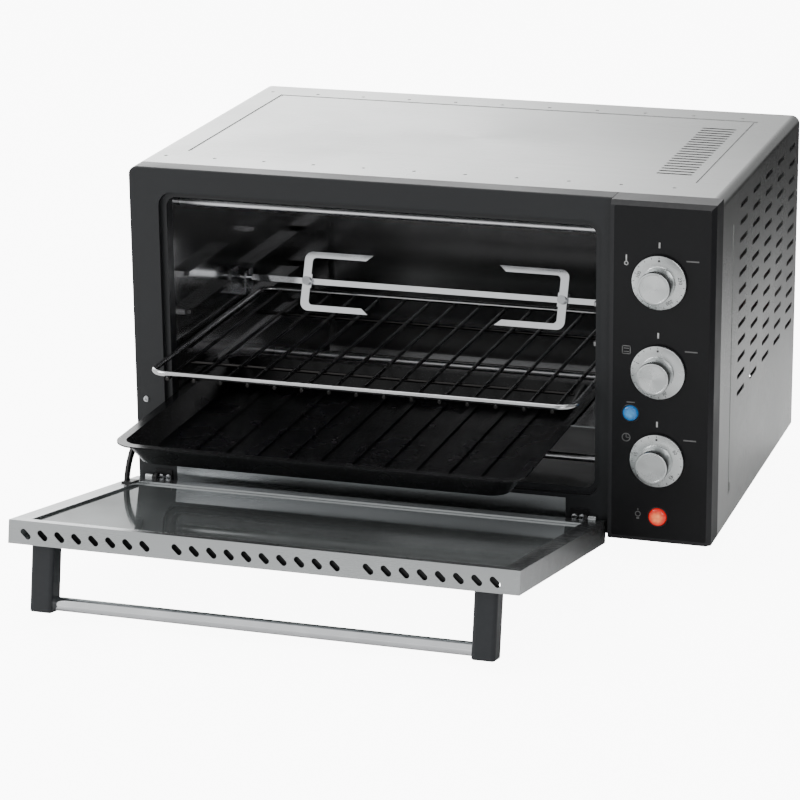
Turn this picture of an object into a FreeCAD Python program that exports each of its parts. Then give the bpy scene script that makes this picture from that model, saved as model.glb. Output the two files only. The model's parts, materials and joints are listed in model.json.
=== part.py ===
import FreeCAD, Part
import math
import os
import re

import Sketcher
from FreeCAD import Placement, Rotation, Vector

# Countertop rotisserie oven: sheet-steel housing, moulded front, drop-down glass door, wire rack,
# baking tray, motor-driven spit with two forks, and three control knobs.
# Row frame: +Z up, the front faces -Y, the origin is under the middle of the whole part at rest,
# on the surface that the feet stand on. Millimetres.
#
# Most sizes below are measured in the housing's own frame: x from its left side, y from its front
# edge towards the back, z from its underside. The door, the spit and the knobs are drawn about their
# own axes (local frames) and then placed.

SIZES = {
    # housing of bent sheet
    "housing_width": 480, "housing_depth": 302, "housing_height": 272,
    "sheet_wall": 1, "housing_corner": 7,
    "foot_height": 18, "foot_radius": 14, "foot_flare": 3, "foot_inset_side": 45, "foot_inset_end": 37,
    # embossed lines and vents of the housing
    "groove_width": 3.2, "groove_depth": 0.6, "groove_side_inset": 27, "groove_right_inset": 32,
    "groove_front": 44, "groove_rear": 266, "side_groove_at": 37, "side_groove_low": 22,
    "side_groove_high": 242, "weld_dimple": 1.6, "weld_pitch": 42, "weld_start": 16, "weld_inset": 24,
    "vent_length": 28, "vent_width": 4, "vent_column_pitch": 49, "vent_row_pitch": 14,
    "vent_first_column": 78, "vent_first_row": 97, "latch_slot_at": 42, "latch_slot_height": 27,
    "latch_slot_length": 8, "latch_slot_width": 3,
    "top_vent_right": 40, "top_vent_length": 29, "top_vent_width": 3.2, "top_vent_first": 69,
    "top_vent_pitch": 8.7, "top_vent_rows": 20, "rear_vent_length": 44, "rear_vent_first": 60, "rear_vent_pitch": 13,
    "base_vent_length": 60, "base_vent_pitch": 16,
    # moulded front frame around the opening
    "frame_depth": 18, "frame_width": 397.5, "frame_wall": 2, "frame_corner": 7, "frame_edge": 1.2,
    "opening_left": 25, "opening_right": 389, "opening_bottom": 30, "opening_top": 252.6,
    "opening_corner": 12, "opening_step": 5, "step_depth": 5, "inner_corner": 8,
    # control panel
    "panel_gap": 0.5, "panel_depth": 26, "panel_wall": 2, "panel_chamfer": 3.5, "fascia_thick": 1.5,
    "fascia_margin": 3, "fascia_corner": 2,
    "knob_inset": 42.8, "knob_top": 210.3, "knob_pitch": 71.35, "knob_gap": 1, "skirt_radius": 21.4,
    "skirt_thick": 3, "grip_radius": 12.8, "grip_length": 18, "knob_round": 1, "shaft_radius": 3,
    "shaft_length": 22, "shaft_play": 0.05, "shaft_depth": 11, "bush_radius": 5, "bush_length": 10,
    "hole_play": 0.3,
    "thermostat_side": 40, "thermostat_depth": 24, "selector_side": 36, "selector_depth": 30,
    "timer_side": 48, "timer_depth": 30, "bell_radius": 20, "bell_thick": 3, "bell_post": 4,
    "ready_lens_inset": 64.5, "ready_lens_height": 103.8, "ready_lens_radius": 6,
    "power_lens_inset": 42, "power_lens_height": 20.7, "power_lens_radius": 7,
    "lens_proud": 2.5, "lens_length": 14, "lens_round": 2,
    # oven cavity
    "cavity_left": 29, "cavity_right": 385, "cavity_bottom": 34, "cavity_top": 250,
    "cavity_rear": 286, "cavity_wall": 1, "throat_rear": 1,
    "bulge_side": 33, "bulge_top": 22, "bulge_low": 2, "bulge_depth": 8,
    "rib_reach": 9, "rib_high": 5, "rib_slope": 2, "rib_pitch": 32.2, "rib_count": 3, "rib_front": 12,
    "rib_rear": 276, "rib_break": 56, "rest_play": 0.3,
    "runner_thick": 1.2, "runner_leg": 12, "runner_front": 2, "runner_rear": 279,
    # heating rods
    "heater_radius": 3.1, "heater_top_drop": 14, "heater_low_rise": 14, "heater_front": 20,
    "heater_rear": 234, "heater_overhang": 15, "insulator_radius": 8, "insulator_length": 11,
    # rotisserie
    "spit_y": 135, "spit_z": 143, "spit_side": 4.8, "spit_turn": 22, "spit_left": 47, "spit_right": 380,
    "journal_radius": 2.3, "journal_length": 11, "tip_length": 5, "journal_play": 0.4,
    "support_x": 42, "support_thick": 1.5, "support_half": 9, "support_rise": 6, "support_drop": 13,
    "coupler_left": 370, "coupler_radius": 9, "coupler_length": 13, "socket_play": 0.2,
    "socket_depth": 12, "drive_radius": 6, "drive_play": 0.05, "drive_length": 15,
    "gearbox_half_y": 25, "gearbox_low": 29, "gearbox_high": 29, "gearbox_length": 22,
    "motor_radius": 22, "motor_length": 22,
    "fork_left_x": 93, "fork_right_x": 323, "fork_reach": 25, "fork_width": 7, "fork_thick": 2.2,
    "fork_bend": 7, "prong_length": 60, "prong_width": 5, "prong_point": 6, "hub_length": 8, "hub_margin": 1,
    "thumb_radius": 1.8, "thumb_head": 3.6, "thumb_head_length": 3.4, "thumb_gap": 0.3, "thumb_play": 0.05,
    # wire rack
    "rack_width": 347, "rack_depth": 262, "rack_height": 117.5, "rack_out": 69, "rack_wire": 4.5,
    "rack_bar": 3, "rack_bar_pitch": 22.55, "rack_bar_count": 15, "rack_corner": 14,
    "rack_cross_inset": 54, "rack_weld": 0.3,
    # baking tray
    "tray_width": 331, "tray_depth": 262, "tray_rim_height": 82, "tray_out": 149, "tray_left": 30.5,
    "tray_high": 18, "tray_wall": 1.2, "tray_flange": 6, "tray_taper": 10, "tray_corner": 20,
    "tray_rib_pitch": 26, "tray_rib_width": 6, "tray_rib_high": 1.6, "tray_rib_inset": 24,
    # door
    "hinge_clear": 3.5, "hinge_play": 0.2, "hinge_rise": 12.2, "open_angle": 79.2,
    "door_left": 0, "door_right": 396, "door_length": 254, "door_thick": 18,
    "rail_width": 14, "rail_wall": 1.5, "rail_web": 2, "bottom_rail_start": 5, "bottom_rail_width": 19,
    "strip_wall": 1, "strip_inner_lap": 10, "strip_outer_lap": 24,
    "strip_slot_length": 9.6, "strip_slot_width": 4.4, "strip_slot_pitch": 13.6, "strip_slot_lean": 42,
    "strip_slot_first": 14, "strip_group_short": 8, "strip_group_long": 10, "strip_group_gap": 25.4,
    "glass_thick": 3.8, "glass_gap": 0.2, "glass_edge": 1,
    "post_width": 18, "post_high": 18, "post_reach": 69, "post_top": 250, "post_inset": 17,
    "post_round": 3, "bar_radius": 5.3, "bar_reach": 63, "bar_drop": 11.5, "bar_socket": 6,
    "handle_screw_radius": 2, "handle_screw_length": 14, "handle_screw_head": 4,
    "handle_screw_head_high": 2,
    "lug_width": 6, "pin_radius": 1.6, "pin_length": 9.5, "pin_play": 0.05,
    "ear_gap": 1, "ear_thick": 2.5, "bracket_plate": 12, "bracket_thick": 1.2,
    "bracket_high": 13,
    "stay_radius": 36, "stay_width": 7, "stay_thick": 2.4, "stay_x": 4.2, "stay_sweep": 97,
    "stay_stop": 4.6, "stay_tab_wide": 8, "stay_tab_long": 18, "stay_tab_thick": 1.5, "stay_slot_play": 0.6,
    # fasteners and rear fittings
    "screw_head": 2.6, "screw_head_high": 1.3,
    "frame_screw_inset": 9, "frame_screw_height": 78, "screw_inset": 8,
    "gland_radius": 9, "gland_flange": 12, "gland_flange_thick": 3, "gland_reach": 8, "gland_bore": 4,
    "gland_inside": 6, "gland_inset": 40, "gland_height": 40,
}

ALIAS = re.compile(r"\b(" + "|".join(sorted(SIZES, key=len, reverse=True)) + r")\b")


def formula(text):
    """Point each named size in a formula at its cell of the sheet."""
    return ALIAS.sub(r"Sizes.\1", text)


doc = FreeCAD.newDocument("RotisserieOven")
sheet = doc.addObject("Spreadsheet::Sheet", "Sizes")
for row, (alias, size) in enumerate(SIZES.items(), 1):
    sheet.set(f"A{row}", alias)
    sheet.set(f"B{row}", str(size))
    sheet.setAlias(f"B{row}", alias)
doc.recompute()

# The part's reach in front of the housing is the lowered door's handle, and behind it the cord gland.
# The origin lies halfway between them.
STANDOFF = "(frame_depth + hinge_clear)"
KNUCKLE = "(hinge_clear - hinge_play)"
FRONT_REACH = f"({STANDOFF} + post_reach * cos(open_angle) + post_top * sin(open_angle))"
FRONT = f"(({FRONT_REACH} - housing_depth - gland_reach) / 2)"
HOUSING = {"x": "-housing_width / 2", "y": FRONT, "z": "foot_height"}
LOCAL = {"x": "0", "y": "0", "z": "0"}

OPEN = math.radians(sheet.open_angle)
FRONT_REACH_MM = (sheet.frame_depth + sheet.hinge_clear + sheet.post_reach * math.cos(OPEN)
                  + sheet.post_top * math.sin(OPEN))
FRONT_MM = (FRONT_REACH_MM - sheet.housing_depth - sheet.gland_reach) / 2

AXES = {"x": Vector(1, 0, 0), "y": Vector(0, 1, 0), "z": Vector(0, 0, 1)}
TURNS = {"x": Rotation(AXES["y"], 90), "y": Rotation(AXES["x"], -90), "z": Rotation()}
NODES = {}


# ---------------------------------------------------------------- building blocks

def housing_point(x, y, z):
    """A point given in the housing's frame, as the row frame has it."""
    return Vector(x - sheet.housing_width / 2, y + FRONT_MM, z + sheet.foot_height)


def bind_place(item, at, frame=HOUSING):
    """Tie an object's base point to formulas given in a frame."""
    for axis, text in zip("xyz", at):
        item.setExpression("Placement.Base." + axis, formula(f"({text}) + {frame[axis]}"))


def block(name, x, y, z, frame=HOUSING):
    """A box between three pairs of formulas."""
    box = doc.addObject("Part::Box", name)
    for side, (low, high) in zip(("Length", "Width", "Height"), (x, y, z)):
        box.setExpression(side, formula(f"({high}) - ({low})"))
    bind_place(box, (x[0], y[0], z[0]), frame)
    return box


def rod(name, axis, at, length, radius, frame=HOUSING):
    """A cylinder from a point along one axis."""
    bar = doc.addObject("Part::Cylinder", name)
    bar.Placement.Rotation = TURNS[axis]
    bar.setExpression("Radius", formula(radius))
    bar.setExpression("Height", formula(length))
    bind_place(bar, at, frame)
    return bar


def solid(name, shape):
    """An object whose shape is worked out from the sheet in this file."""
    item = doc.addObject("Part::Feature", name)
    item.Shape = shape
    return item


def join(name, items):
    """One solid made of several that meet or overlap."""
    fused = doc.addObject("Part::MultiFuse", name)
    fused.Shapes = items
    fused.Refine = True
    return fused


def group(name, items):
    """Separate solids kept together."""
    made = doc.addObject("Part::Compound", name)
    made.Links = items
    return made


def cut(name, base, tools):
    """A base with tools taken away."""
    result = doc.addObject("Part::Cut", name)
    result.Base = base
    result.Tool = tools[0] if len(tools) == 1 else group(name + "_tools", tools)
    result.Refine = True
    return result


def rounded(name, item, radius, pick, chamfer=False):
    """Fillet or chamfer the edges that a test picks."""
    doc.recompute()
    made = doc.addObject("Part::Chamfer" if chamfer else "Part::Fillet", name)
    made.Base = item
    edges = enumerate(item.Shape.Edges, 1)
    made.Edges = [(index, radius, radius) for index, edge in edges if pick(edge)]
    return made


def runs_along(axis):
    """A test for straight edges along an axis."""
    def test(edge):
        if not isinstance(edge.Curve, (Part.Line, Part.LineSegment)):
            return False
        return abs(edge.tangentAt(edge.FirstParameter).dot(AXES[axis])) > 0.999
    return test


def middle(edge):
    """The middle of an edge's bounding box."""
    return edge.BoundBox.Center


def node(name, item):
    """Give a finished sub-part its name."""
    item.Label = name
    NODES[name] = item
    return item


def turned(item, axis, angle, at, frame=HOUSING):
    """Place a piece drawn about its own axis: turn it, then move it to its point."""
    if item.TypeId in ("Part::Box", "Part::Cylinder"):
        item = group(item.Name + "_placed", [item])
    item.Placement = Placement(Vector(), Rotation(AXES[axis], 1))
    item.setExpression("Placement.Rotation.Angle", formula(angle))
    bind_place(item, at, frame)
    return item


def stadium(centre, along, across, length, width, depth):
    """A round-ended slot's cutter, as deep as depth both ways through the sheet."""
    straight = along * ((length - width) / 2)
    half = across * (width / 2)
    through = along.cross(across) * depth
    corners = [centre + straight * i + half * j - through for i, j in ((-1, -1), (1, -1), (1, 1), (-1, 1))]
    ends = [centre + along * (length / 2 * i) - through for i in (1, -1)]
    wire = Part.Wire([
        Part.makeLine(corners[0], corners[1]), Part.Arc(corners[1], ends[0], corners[2]).toShape(),
        Part.makeLine(corners[2], corners[3]), Part.Arc(corners[3], ends[1], corners[0]).toShape(),
    ])
    return Part.Face(wire).extrude(through * 2)


def new_body(name):
    """An empty body."""
    return doc.addObject("PartDesign::Body", name)


def plane(body, role):
    """One of a body's own origin planes."""
    return next(item for item in body.Origin.OriginFeatures if item.Role == role)


def disc_sketch(body, name, radius, offset, role="XZ_Plane"):
    """A circle about the body's origin on one of its planes, moved along the plane's normal."""
    sketch = body.newObject("Sketcher::SketchObject", name)
    sketch.AttachmentSupport = (plane(body, role), [""])
    sketch.MapMode = "FlatFace"
    sketch.addGeometry(Part.Circle(Vector(), AXES["z"], 5), False)
    sketch.addConstraint(Sketcher.Constraint("Coincident", 0, 3, -1, 1))
    sketch.addConstraint(Sketcher.Constraint("Radius", 0, 5))
    sketch.setExpression("Constraints[1]", formula(radius))
    sketch.setExpression("AttachmentOffset.Base.z", formula(offset))
    return sketch


def rectangle_sketch(body, name, low, high, offset="0", role="XZ_Plane"):
    """A rectangle between two corners, given as formulas, on one of a body's planes."""
    sketch = body.newObject("Sketcher::SketchObject", name)
    sketch.AttachmentSupport = (plane(body, role), [""])
    sketch.MapMode = "FlatFace"
    points = [Vector(1, 1, 0), Vector(9, 1, 0), Vector(9, 9, 0), Vector(1, 9, 0)]
    sketch.addGeometry([Part.LineSegment(points[i], points[(i + 1) % 4]) for i in range(4)], False)
    for i in range(4):
        sketch.addConstraint(Sketcher.Constraint("Coincident", i, 2, (i + 1) % 4, 1))
        sketch.addConstraint(Sketcher.Constraint("Horizontal" if i % 2 == 0 else "Vertical", i))
    for vertex, corner in ((0, low), (2, high)):
        for kind, text in zip(("DistanceX", "DistanceY"), corner):
            start = 1.0 if vertex == 0 else 9.0
            index = sketch.addConstraint(Sketcher.Constraint(kind, -1, 1, vertex, 1, start))
            sketch.setExpression(f"Constraints[{index}]", formula(text))
    sketch.setExpression("AttachmentOffset.Base.z", formula(offset))
    return sketch


def pad(body, name, sketch, length):
    """Grow a sketch along its plane's normal."""
    made = body.newObject("PartDesign::Pad", name)
    made.Profile = sketch
    made.setExpression("Length", formula(length))
    sketch.Visibility = False
    return made


def pocket(body, name, sketch, length, reverse=False):
    """Cut a sketch into the body, and make sure that it does remove material."""
    doc.recompute()
    before = body.Shape.Volume
    made = body.newObject("PartDesign::Pocket", name)
    made.Profile = sketch
    made.Reversed = reverse
    made.setExpression("Length", formula(length))
    doc.recompute()
    if not body.Shape.Volume < before - 1e-6:
        raise RuntimeError(f"{name} cuts nothing")
    return made


def round_body(body, name, radius, pick):
    """Round the edges of a body's last feature that a test picks."""
    doc.recompute()
    base = body.Tip
    names = [f"Edge{i}" for i, edge in enumerate(base.Shape.Edges, 1) if pick(edge)]
    made = body.newObject("PartDesign::Fillet", name)
    made.Base = (base, names)
    made.setExpression("Radius", formula(radius))
    return made


# ---------------------------------------------------------------- housing

def inner_box(name, margin, y, extra="0"):
    """The space inside the housing's wrap."""
    return block(name, (margin, f"housing_width - {margin}"), y, (extra, f"housing_height - {margin}"))


def side_vents():
    """The vent slots of both sides, in columns of lying slots, and one small upright slot low in front."""
    cutters = []
    for side in (0, sheet.housing_width):
        for column in range(5):
            for row in range(12):
                at = housing_point(side, sheet.vent_first_column + column * sheet.vent_column_pitch,
                                   sheet.vent_first_row + row * sheet.vent_row_pitch)
                cutters.append(stadium(at, AXES["y"], AXES["z"], sheet.vent_length, sheet.vent_width, 4))
        at = housing_point(side, sheet.latch_slot_at, sheet.latch_slot_height)
        cutters.append(stadium(at, AXES["z"], AXES["y"], sheet.latch_slot_length, sheet.latch_slot_width, 4))
    return Part.Compound(cutters)


def top_vents():
    """The patch of slots over the control compartment."""
    cutters = []
    centre = sheet.housing_width - sheet.top_vent_right - sheet.top_vent_length / 2
    for row in range(int(sheet.top_vent_rows)):
        at = housing_point(centre, sheet.top_vent_first + row * sheet.top_vent_pitch, sheet.housing_height)
        cutters.append(stadium(at, AXES["x"], AXES["y"], sheet.top_vent_length, sheet.top_vent_width, 3))
    return Part.Compound(cutters)


def weld_dimples():
    """Small spot-weld dimples along the top's front and rear edges."""
    count = int((sheet.housing_width - sheet.weld_start) / sheet.weld_pitch) + 1
    dimples = []
    for index in range(count):
        for y in (sheet.weld_inset, sheet.housing_depth - sheet.weld_inset):
            at = housing_point(sheet.weld_start + index * sheet.weld_pitch, y,
                               sheet.housing_height - sheet.groove_depth)
            dimples.append(Part.makeCylinder(sheet.weld_dimple, 2, at))
    return Part.Compound(dimples)


def build_housing():
    """The wrap of top and sides, the back panel and the base plate."""
    outer = block("wrap_outer", ("0", "housing_width"), ("0", "housing_depth"), ("0", "housing_height"))
    high = sheet.housing_height + sheet.foot_height - 1
    is_top_corner = lambda edge: runs_along("y")(edge) and middle(edge).z > high
    outer = rounded("wrap_outer_round", outer, sheet.housing_corner, is_top_corner)
    inner = inner_box("wrap_inner", "sheet_wall", ("-1", "housing_depth + 1"), "-1")
    high_inside = high - sheet.sheet_wall
    is_inner_corner = lambda edge: runs_along("y")(edge) and middle(edge).z > high_inside
    inner = rounded("wrap_inner_round", inner, sheet.housing_corner - sheet.sheet_wall, is_inner_corner)
    top = ("housing_height - groove_depth", "housing_height + 1")
    right = "housing_width - groove_right_inset"
    grooves = [
        block("top_groove_left", ("groove_side_inset", "groove_side_inset + groove_width"),
              ("groove_front", "groove_rear + groove_width"), top),
        block("top_groove_right", (right, f"{right} + groove_width"),
              ("groove_front", "groove_rear + groove_width"), top),
        block("top_groove_rear", ("groove_side_inset + groove_width", right),
              ("groove_rear", "groove_rear + groove_width"), top),
        block("side_groove", ("housing_width - groove_depth", "housing_width + 1"),
              ("side_groove_at", "side_groove_at + groove_width"), ("side_groove_low", "side_groove_high")),
    ]
    vents = [solid("side_vents", side_vents()), solid("top_vents", top_vents()),
             solid("weld_dimples", weld_dimples())]
    node("housing_wrap", cut("housing_wrap", outer, [inner] + grooves + vents))

    inside_x = ("sheet_wall", "housing_width - sheet_wall")
    base = block("base_blank", inside_x, ("0", "housing_depth - sheet_wall"), ("0", "sheet_wall"))
    slots = []
    for row in range(6):
        for side in (0.3, 0.7):
            at = housing_point(sheet.housing_width * side,
                               sheet.housing_depth / 2 + (row - 2.5) * sheet.base_vent_pitch, 0)
            slots.append(stadium(at, AXES["x"], AXES["y"], sheet.base_vent_length, sheet.vent_width, 3))
    node("base_plate", cut("base_plate", base, [solid("base_slots", Part.Compound(slots))]))

    back = block("back_blank", inside_x, ("housing_depth - sheet_wall", "housing_depth"),
                 ("0", "housing_height - sheet_wall"))
    corner = sheet.housing_corner - sheet.sheet_wall
    back = rounded("back_round", back, corner, lambda e: runs_along("y")(e) and middle(e).z > high_inside)
    slots = []
    for row in range(4):
        for column in range(5):
            at = housing_point(sheet.housing_width / 2 + (column - 2) * (sheet.rear_vent_length + 14),
                               sheet.housing_depth,
                               sheet.housing_height - sheet.rear_vent_first + row * sheet.rear_vent_pitch)
            slots.append(stadium(at, AXES["z"].cross(AXES["y"]), AXES["z"], sheet.rear_vent_length,
                                 sheet.vent_width, 4))
    hole = rod("gland_hole", "y", ("housing_width - gland_inset", "housing_depth - 3", "gland_height"),
               "6", "gland_radius + hole_play")
    node("back_panel", cut("back_panel", back, [solid("rear_slots", Part.Compound(slots)), hole]))


# ---------------------------------------------------------------- front frame and control panel

def opening_box(name, inset, y, corner):
    """The door opening, shrunk by an inset, with round corners."""
    box = block(name, (f"opening_left + {inset}", f"opening_right - {inset}"), y,
                (f"opening_bottom + {inset}", f"opening_top - {inset}"))
    return rounded(name + "_round", box, corner, runs_along("y"))


def build_front_frame():
    """A hollow moulding around the opening, with a stepped throat that meets the cavity."""
    outer = block("frame_outer", ("0", "frame_width"), ("-frame_depth", "0"), ("0", "housing_height"))
    is_corner = lambda edge: runs_along("y")(edge) and middle(edge).x < 0
    outer = rounded("frame_outer_round", outer, sheet.frame_corner, is_corner)
    face = FRONT_MM - sheet.frame_depth + 0.01
    outer = rounded("frame_outer_edge", outer, sheet.frame_edge,
                    lambda edge: edge.BoundBox.YMax < face)
    hollow = block("frame_hollow", ("frame_wall", "frame_width - frame_wall"), ("-frame_depth + frame_wall", "1"),
                   ("frame_wall", "housing_height - frame_wall"))
    shell = cut("frame_shell", outer, [hollow])
    throat = block("frame_throat", ("opening_left - frame_wall", "opening_right + frame_wall"),
                   ("-frame_depth + frame_wall / 2", "-throat_rear"),
                   ("opening_bottom - frame_wall", "opening_top + frame_wall"))
    body = join("frame_body", [shell, throat])
    recess = opening_box("frame_recess", "0", ("-frame_depth - 1", "-frame_depth + step_depth"),
                         sheet.opening_corner)
    through = opening_box("frame_through", "opening_step", ("-frame_depth - 1", "1"), sheet.inner_corner)
    slot = block("stay_slot", ("stay_x - stay_slot_play", "stay_x + stay_thick + stay_slot_play"),
                 ("-frame_depth - 1", "-frame_depth + frame_wall + 1"),
                 ("hinge_rise + stay_radius - stay_width / 2 - 2 * stay_slot_play",
                  "hinge_rise + stay_radius + stay_width / 2 + stay_slot_play"))
    node("front_frame", cut("front_frame", body, [recess, through, slot]))


PANEL_LEFT = "(frame_width + panel_gap)"
KNOB_X = "(housing_width - knob_inset)"
FASCIA_X = (f"{PANEL_LEFT} + fascia_margin", "housing_width - panel_chamfer")
FASCIA_Z = ("fascia_margin", "housing_height - panel_chamfer")


def knob_height(index):
    """Height of one knob's axis."""
    return f"(knob_top - {index} * knob_pitch)"


def build_control_panel():
    """A hollow moulding with a sloped top and right edge, and the flat fascia let into its face."""
    outer = block("panel_outer", (PANEL_LEFT, "housing_width"), ("-panel_depth", "0"), ("0", "housing_height"))
    face = FRONT_MM - sheet.panel_depth + 0.01
    right = sheet.housing_width / 2 - 0.01
    high = sheet.housing_height + sheet.foot_height - 0.01
    is_sloped = lambda e: e.BoundBox.YMax < face and (e.BoundBox.XMin > right or e.BoundBox.ZMin > high)
    outer = rounded("panel_sloped", outer, sheet.panel_chamfer, is_sloped, chamfer=True)
    inner_front = "-panel_depth + fascia_thick + panel_wall"
    hollow = block("panel_hollow", (f"{PANEL_LEFT} + panel_wall", "housing_width - panel_wall"),
                   (f"{inner_front} + panel_chamfer", "1"), ("panel_wall", "housing_height - panel_wall"))
    pocket_behind = block("panel_pocket", (f"{PANEL_LEFT} + panel_wall", "housing_width - panel_chamfer - panel_wall"),
                          (inner_front, f"{inner_front} + panel_chamfer + 1"),
                          ("panel_wall", "housing_height - panel_chamfer - panel_wall"))
    seat = block("fascia_seat", FASCIA_X, ("-panel_depth - 1", "-panel_depth + fascia_thick"), FASCIA_Z)
    seat = rounded("fascia_seat_round", seat, sheet.fascia_corner, runs_along("y"))
    holes = []
    for index in range(3):
        holes.append(rod(f"bush_hole_{index}", "y", (KNOB_X, "-panel_depth - 1", knob_height(index)),
                         "panel_depth", "bush_radius + hole_play"))
    for lens in ("ready", "power"):
        holes.append(rod(f"{lens}_hole", "y",
                         (f"housing_width - {lens}_lens_inset", "-panel_depth - 1", f"{lens}_lens_height"),
                         "panel_depth", f"{lens}_lens_radius + hole_play"))
    node("control_housing", cut("control_housing", outer, [hollow, pocket_behind, seat] + holes))
    fascia = block("fascia_blank", FASCIA_X, ("-panel_depth", "-panel_depth + fascia_thick"), FASCIA_Z)
    fascia = rounded("fascia_round", fascia, sheet.fascia_corner, runs_along("y"))
    node("control_fascia", cut("control_fascia", fascia, holes))


def build_knob(name, index):
    """A skirted knob drawn about its own axis, facing -Y, pushed on a round shaft."""
    body = new_body(name)
    pad(body, name + "_skirt", disc_sketch(body, name + "_skirt_disc", "skirt_radius", "0"), "skirt_thick")
    doc.recompute()
    round_body(body, name + "_skirt_round", "knob_round",
               lambda e: isinstance(e.Curve, Part.Circle) and e.BoundBox.YMax < -sheet.skirt_thick + 0.1)
    pad(body, name + "_grip", disc_sketch(body, name + "_grip_disc", "grip_radius", "skirt_thick"), "grip_length")
    end = -(sheet.skirt_thick + sheet.grip_length) + 0.1
    round_body(body, name + "_grip_round", "knob_round",
               lambda e: isinstance(e.Curve, Part.Circle) and e.BoundBox.YMax < end)
    pocket(body, name + "_bore", disc_sketch(body, name + "_bore_disc", "shaft_radius", "0"),
           "shaft_depth", reverse=True)
    bind_place(body, (KNOB_X, "-panel_depth - knob_gap", knob_height(index)))
    node(name, body)
    shaft = rod(name.replace("_knob", "_shaft"), "y",
                (KNOB_X, "-panel_depth - knob_gap - shaft_depth", knob_height(index)),
                "shaft_length", "shaft_radius")
    node(name.replace("_knob", "_shaft"), shaft)


def build_control(name, index, side, depth):
    """A control's case behind the panel, with the threaded bush that its shaft turns in."""
    half = f"{side} / 2"
    height = knob_height(index)
    rear_of_bush = "-panel_depth + bush_length"
    case = block(name + "_case", (f"{KNOB_X} - {half}", f"{KNOB_X} + {half}"),
                 (rear_of_bush, f"{rear_of_bush} + {depth}"), (f"{height} - {half}", f"{height} + {half}"))
    case = rounded(name + "_case_round", case, 2, runs_along("y"))
    bush = rod(name + "_bush", "y", (KNOB_X, "-panel_depth", height), "bush_length + 1", "bush_radius")
    bore = rod(name + "_bore", "y", (KNOB_X, "-panel_depth - 1", height),
               "shaft_length - knob_gap - shaft_depth + 2", "shaft_radius + shaft_play")
    node(name, cut(name, join(name + "_body", [case, bush]), [bore]))


def build_lens(name, lens):
    """A round indicator lens with a rounded front edge, facing -Y."""
    body = new_body(name)
    pad(body, name + "_pad", disc_sketch(body, name + "_disc", f"{lens}_lens_radius", "-lens_length"),
        "lens_length + lens_proud")
    front = -sheet.lens_proud + 0.1
    round_body(body, name + "_round", "lens_round",
               lambda e: isinstance(e.Curve, Part.Circle) and e.BoundBox.YMax < front)
    bind_place(body, (f"housing_width - {lens}_lens_inset", "-panel_depth", f"{lens}_lens_height"))
    node(name, body)


def build_controls():
    """Three controls with their knobs, the timer's bell and the two lenses."""
    for index, (name, control) in enumerate((("thermostat", "thermostat"), ("function", "selector"),
                                             ("timer", "timer"))):
        build_knob(name + "_knob", index)
        build_control({"thermostat": "thermostat", "function": "function_switch", "timer": "timer"}[name],
                      index, control + "_side", control + "_depth")
    rear = "-panel_depth + bush_length + timer_depth"
    post = rod("bell_stem", "y", (KNOB_X, rear, knob_height(2)), "bell_post + 1", "2")
    gong = rod("bell_gong", "y", (KNOB_X, f"{rear} + bell_post", knob_height(2)), "bell_thick", "bell_radius")
    node("timer_bell", join("timer_bell", [post, gong]))
    build_lens("ready_lens", "ready")
    build_lens("power_lens", "power")


# ---------------------------------------------------------------- oven cavity

RIB_TOP = "(rack_height - rack_wire / 2 - rest_play)"
CAVITY_Y = ("-throat_rear", "cavity_rear")
CAVITY_Z = ("cavity_bottom - cavity_wall", "cavity_top + cavity_wall")
HEATERS = {
    "heater_top_front": ("heater_front", "(cavity_top - heater_top_drop)"),
    "heater_top_rear": ("heater_rear", "(cavity_top - heater_top_drop)"),
    "heater_bottom_front": ("heater_front", "(cavity_bottom + heater_low_rise)"),
    "heater_bottom_rear": ("heater_rear", "(cavity_bottom + heater_low_rise)"),
}


def rib_shape(wall_x, reach, level, start, end):
    """A pressed rack rib: a level top and a sloped underside."""
    low = sheet.rib_high
    section = [(wall_x, level), (wall_x + reach, level), (wall_x + reach, level - low + sheet.rib_slope),
               (wall_x, level - low)]
    points = [housing_point(x, start, z) for x, z in section]
    face = Part.Face(Part.makePolygon(points + points[:1]))
    return face.extrude(Vector(0, end - start, 0))


def build_side_wall(name, side):
    """One side wall with the heaters' holes and its rack ribs, the upper ones broken at the spit."""
    if side == "left":
        x = ("cavity_left - cavity_wall", "cavity_left")
        inner_x, reach = sheet.cavity_left, sheet.rib_reach
    else:
        x = ("cavity_right", "cavity_right + cavity_wall")
        inner_x, reach = sheet.cavity_right, -sheet.rib_reach
    plate = block(name + "_plate", x, CAVITY_Y, CAVITY_Z)
    level = sheet.rack_height - sheet.rack_wire / 2 - sheet.rest_play
    break_front, break_rear = sheet.spit_y - sheet.rib_break / 2, sheet.spit_y + sheet.rib_break / 2
    lengths = [(0, sheet.rib_front, sheet.rib_rear)]
    for i in range(1, int(sheet.rib_count)):
        lengths += [(i, sheet.rib_front, break_front), (i, break_rear, sheet.rib_rear)]
    ribs = [solid(f"{name}_rib_{n}", rib_shape(inner_x, reach, level + i * sheet.rib_pitch, start, end))
            for n, (i, start, end) in enumerate(lengths)]
    body = join(name + "_ribbed", [plate] + ribs)
    holes = [rod(f"{name}_{heater}_hole", "x", (f"{x[0]} - 1", y, z), "cavity_wall + 2", "heater_radius + hole_play")
             for heater, (y, z) in HEATERS.items()]
    if side == "right":
        holes.append(rod("drive_hole", "x", (f"{x[0]} - 1", "spit_y", "spit_z"), "cavity_wall + 2",
                         "drive_radius + hole_play"))
    node(name, cut(name, body, holes))


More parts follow.
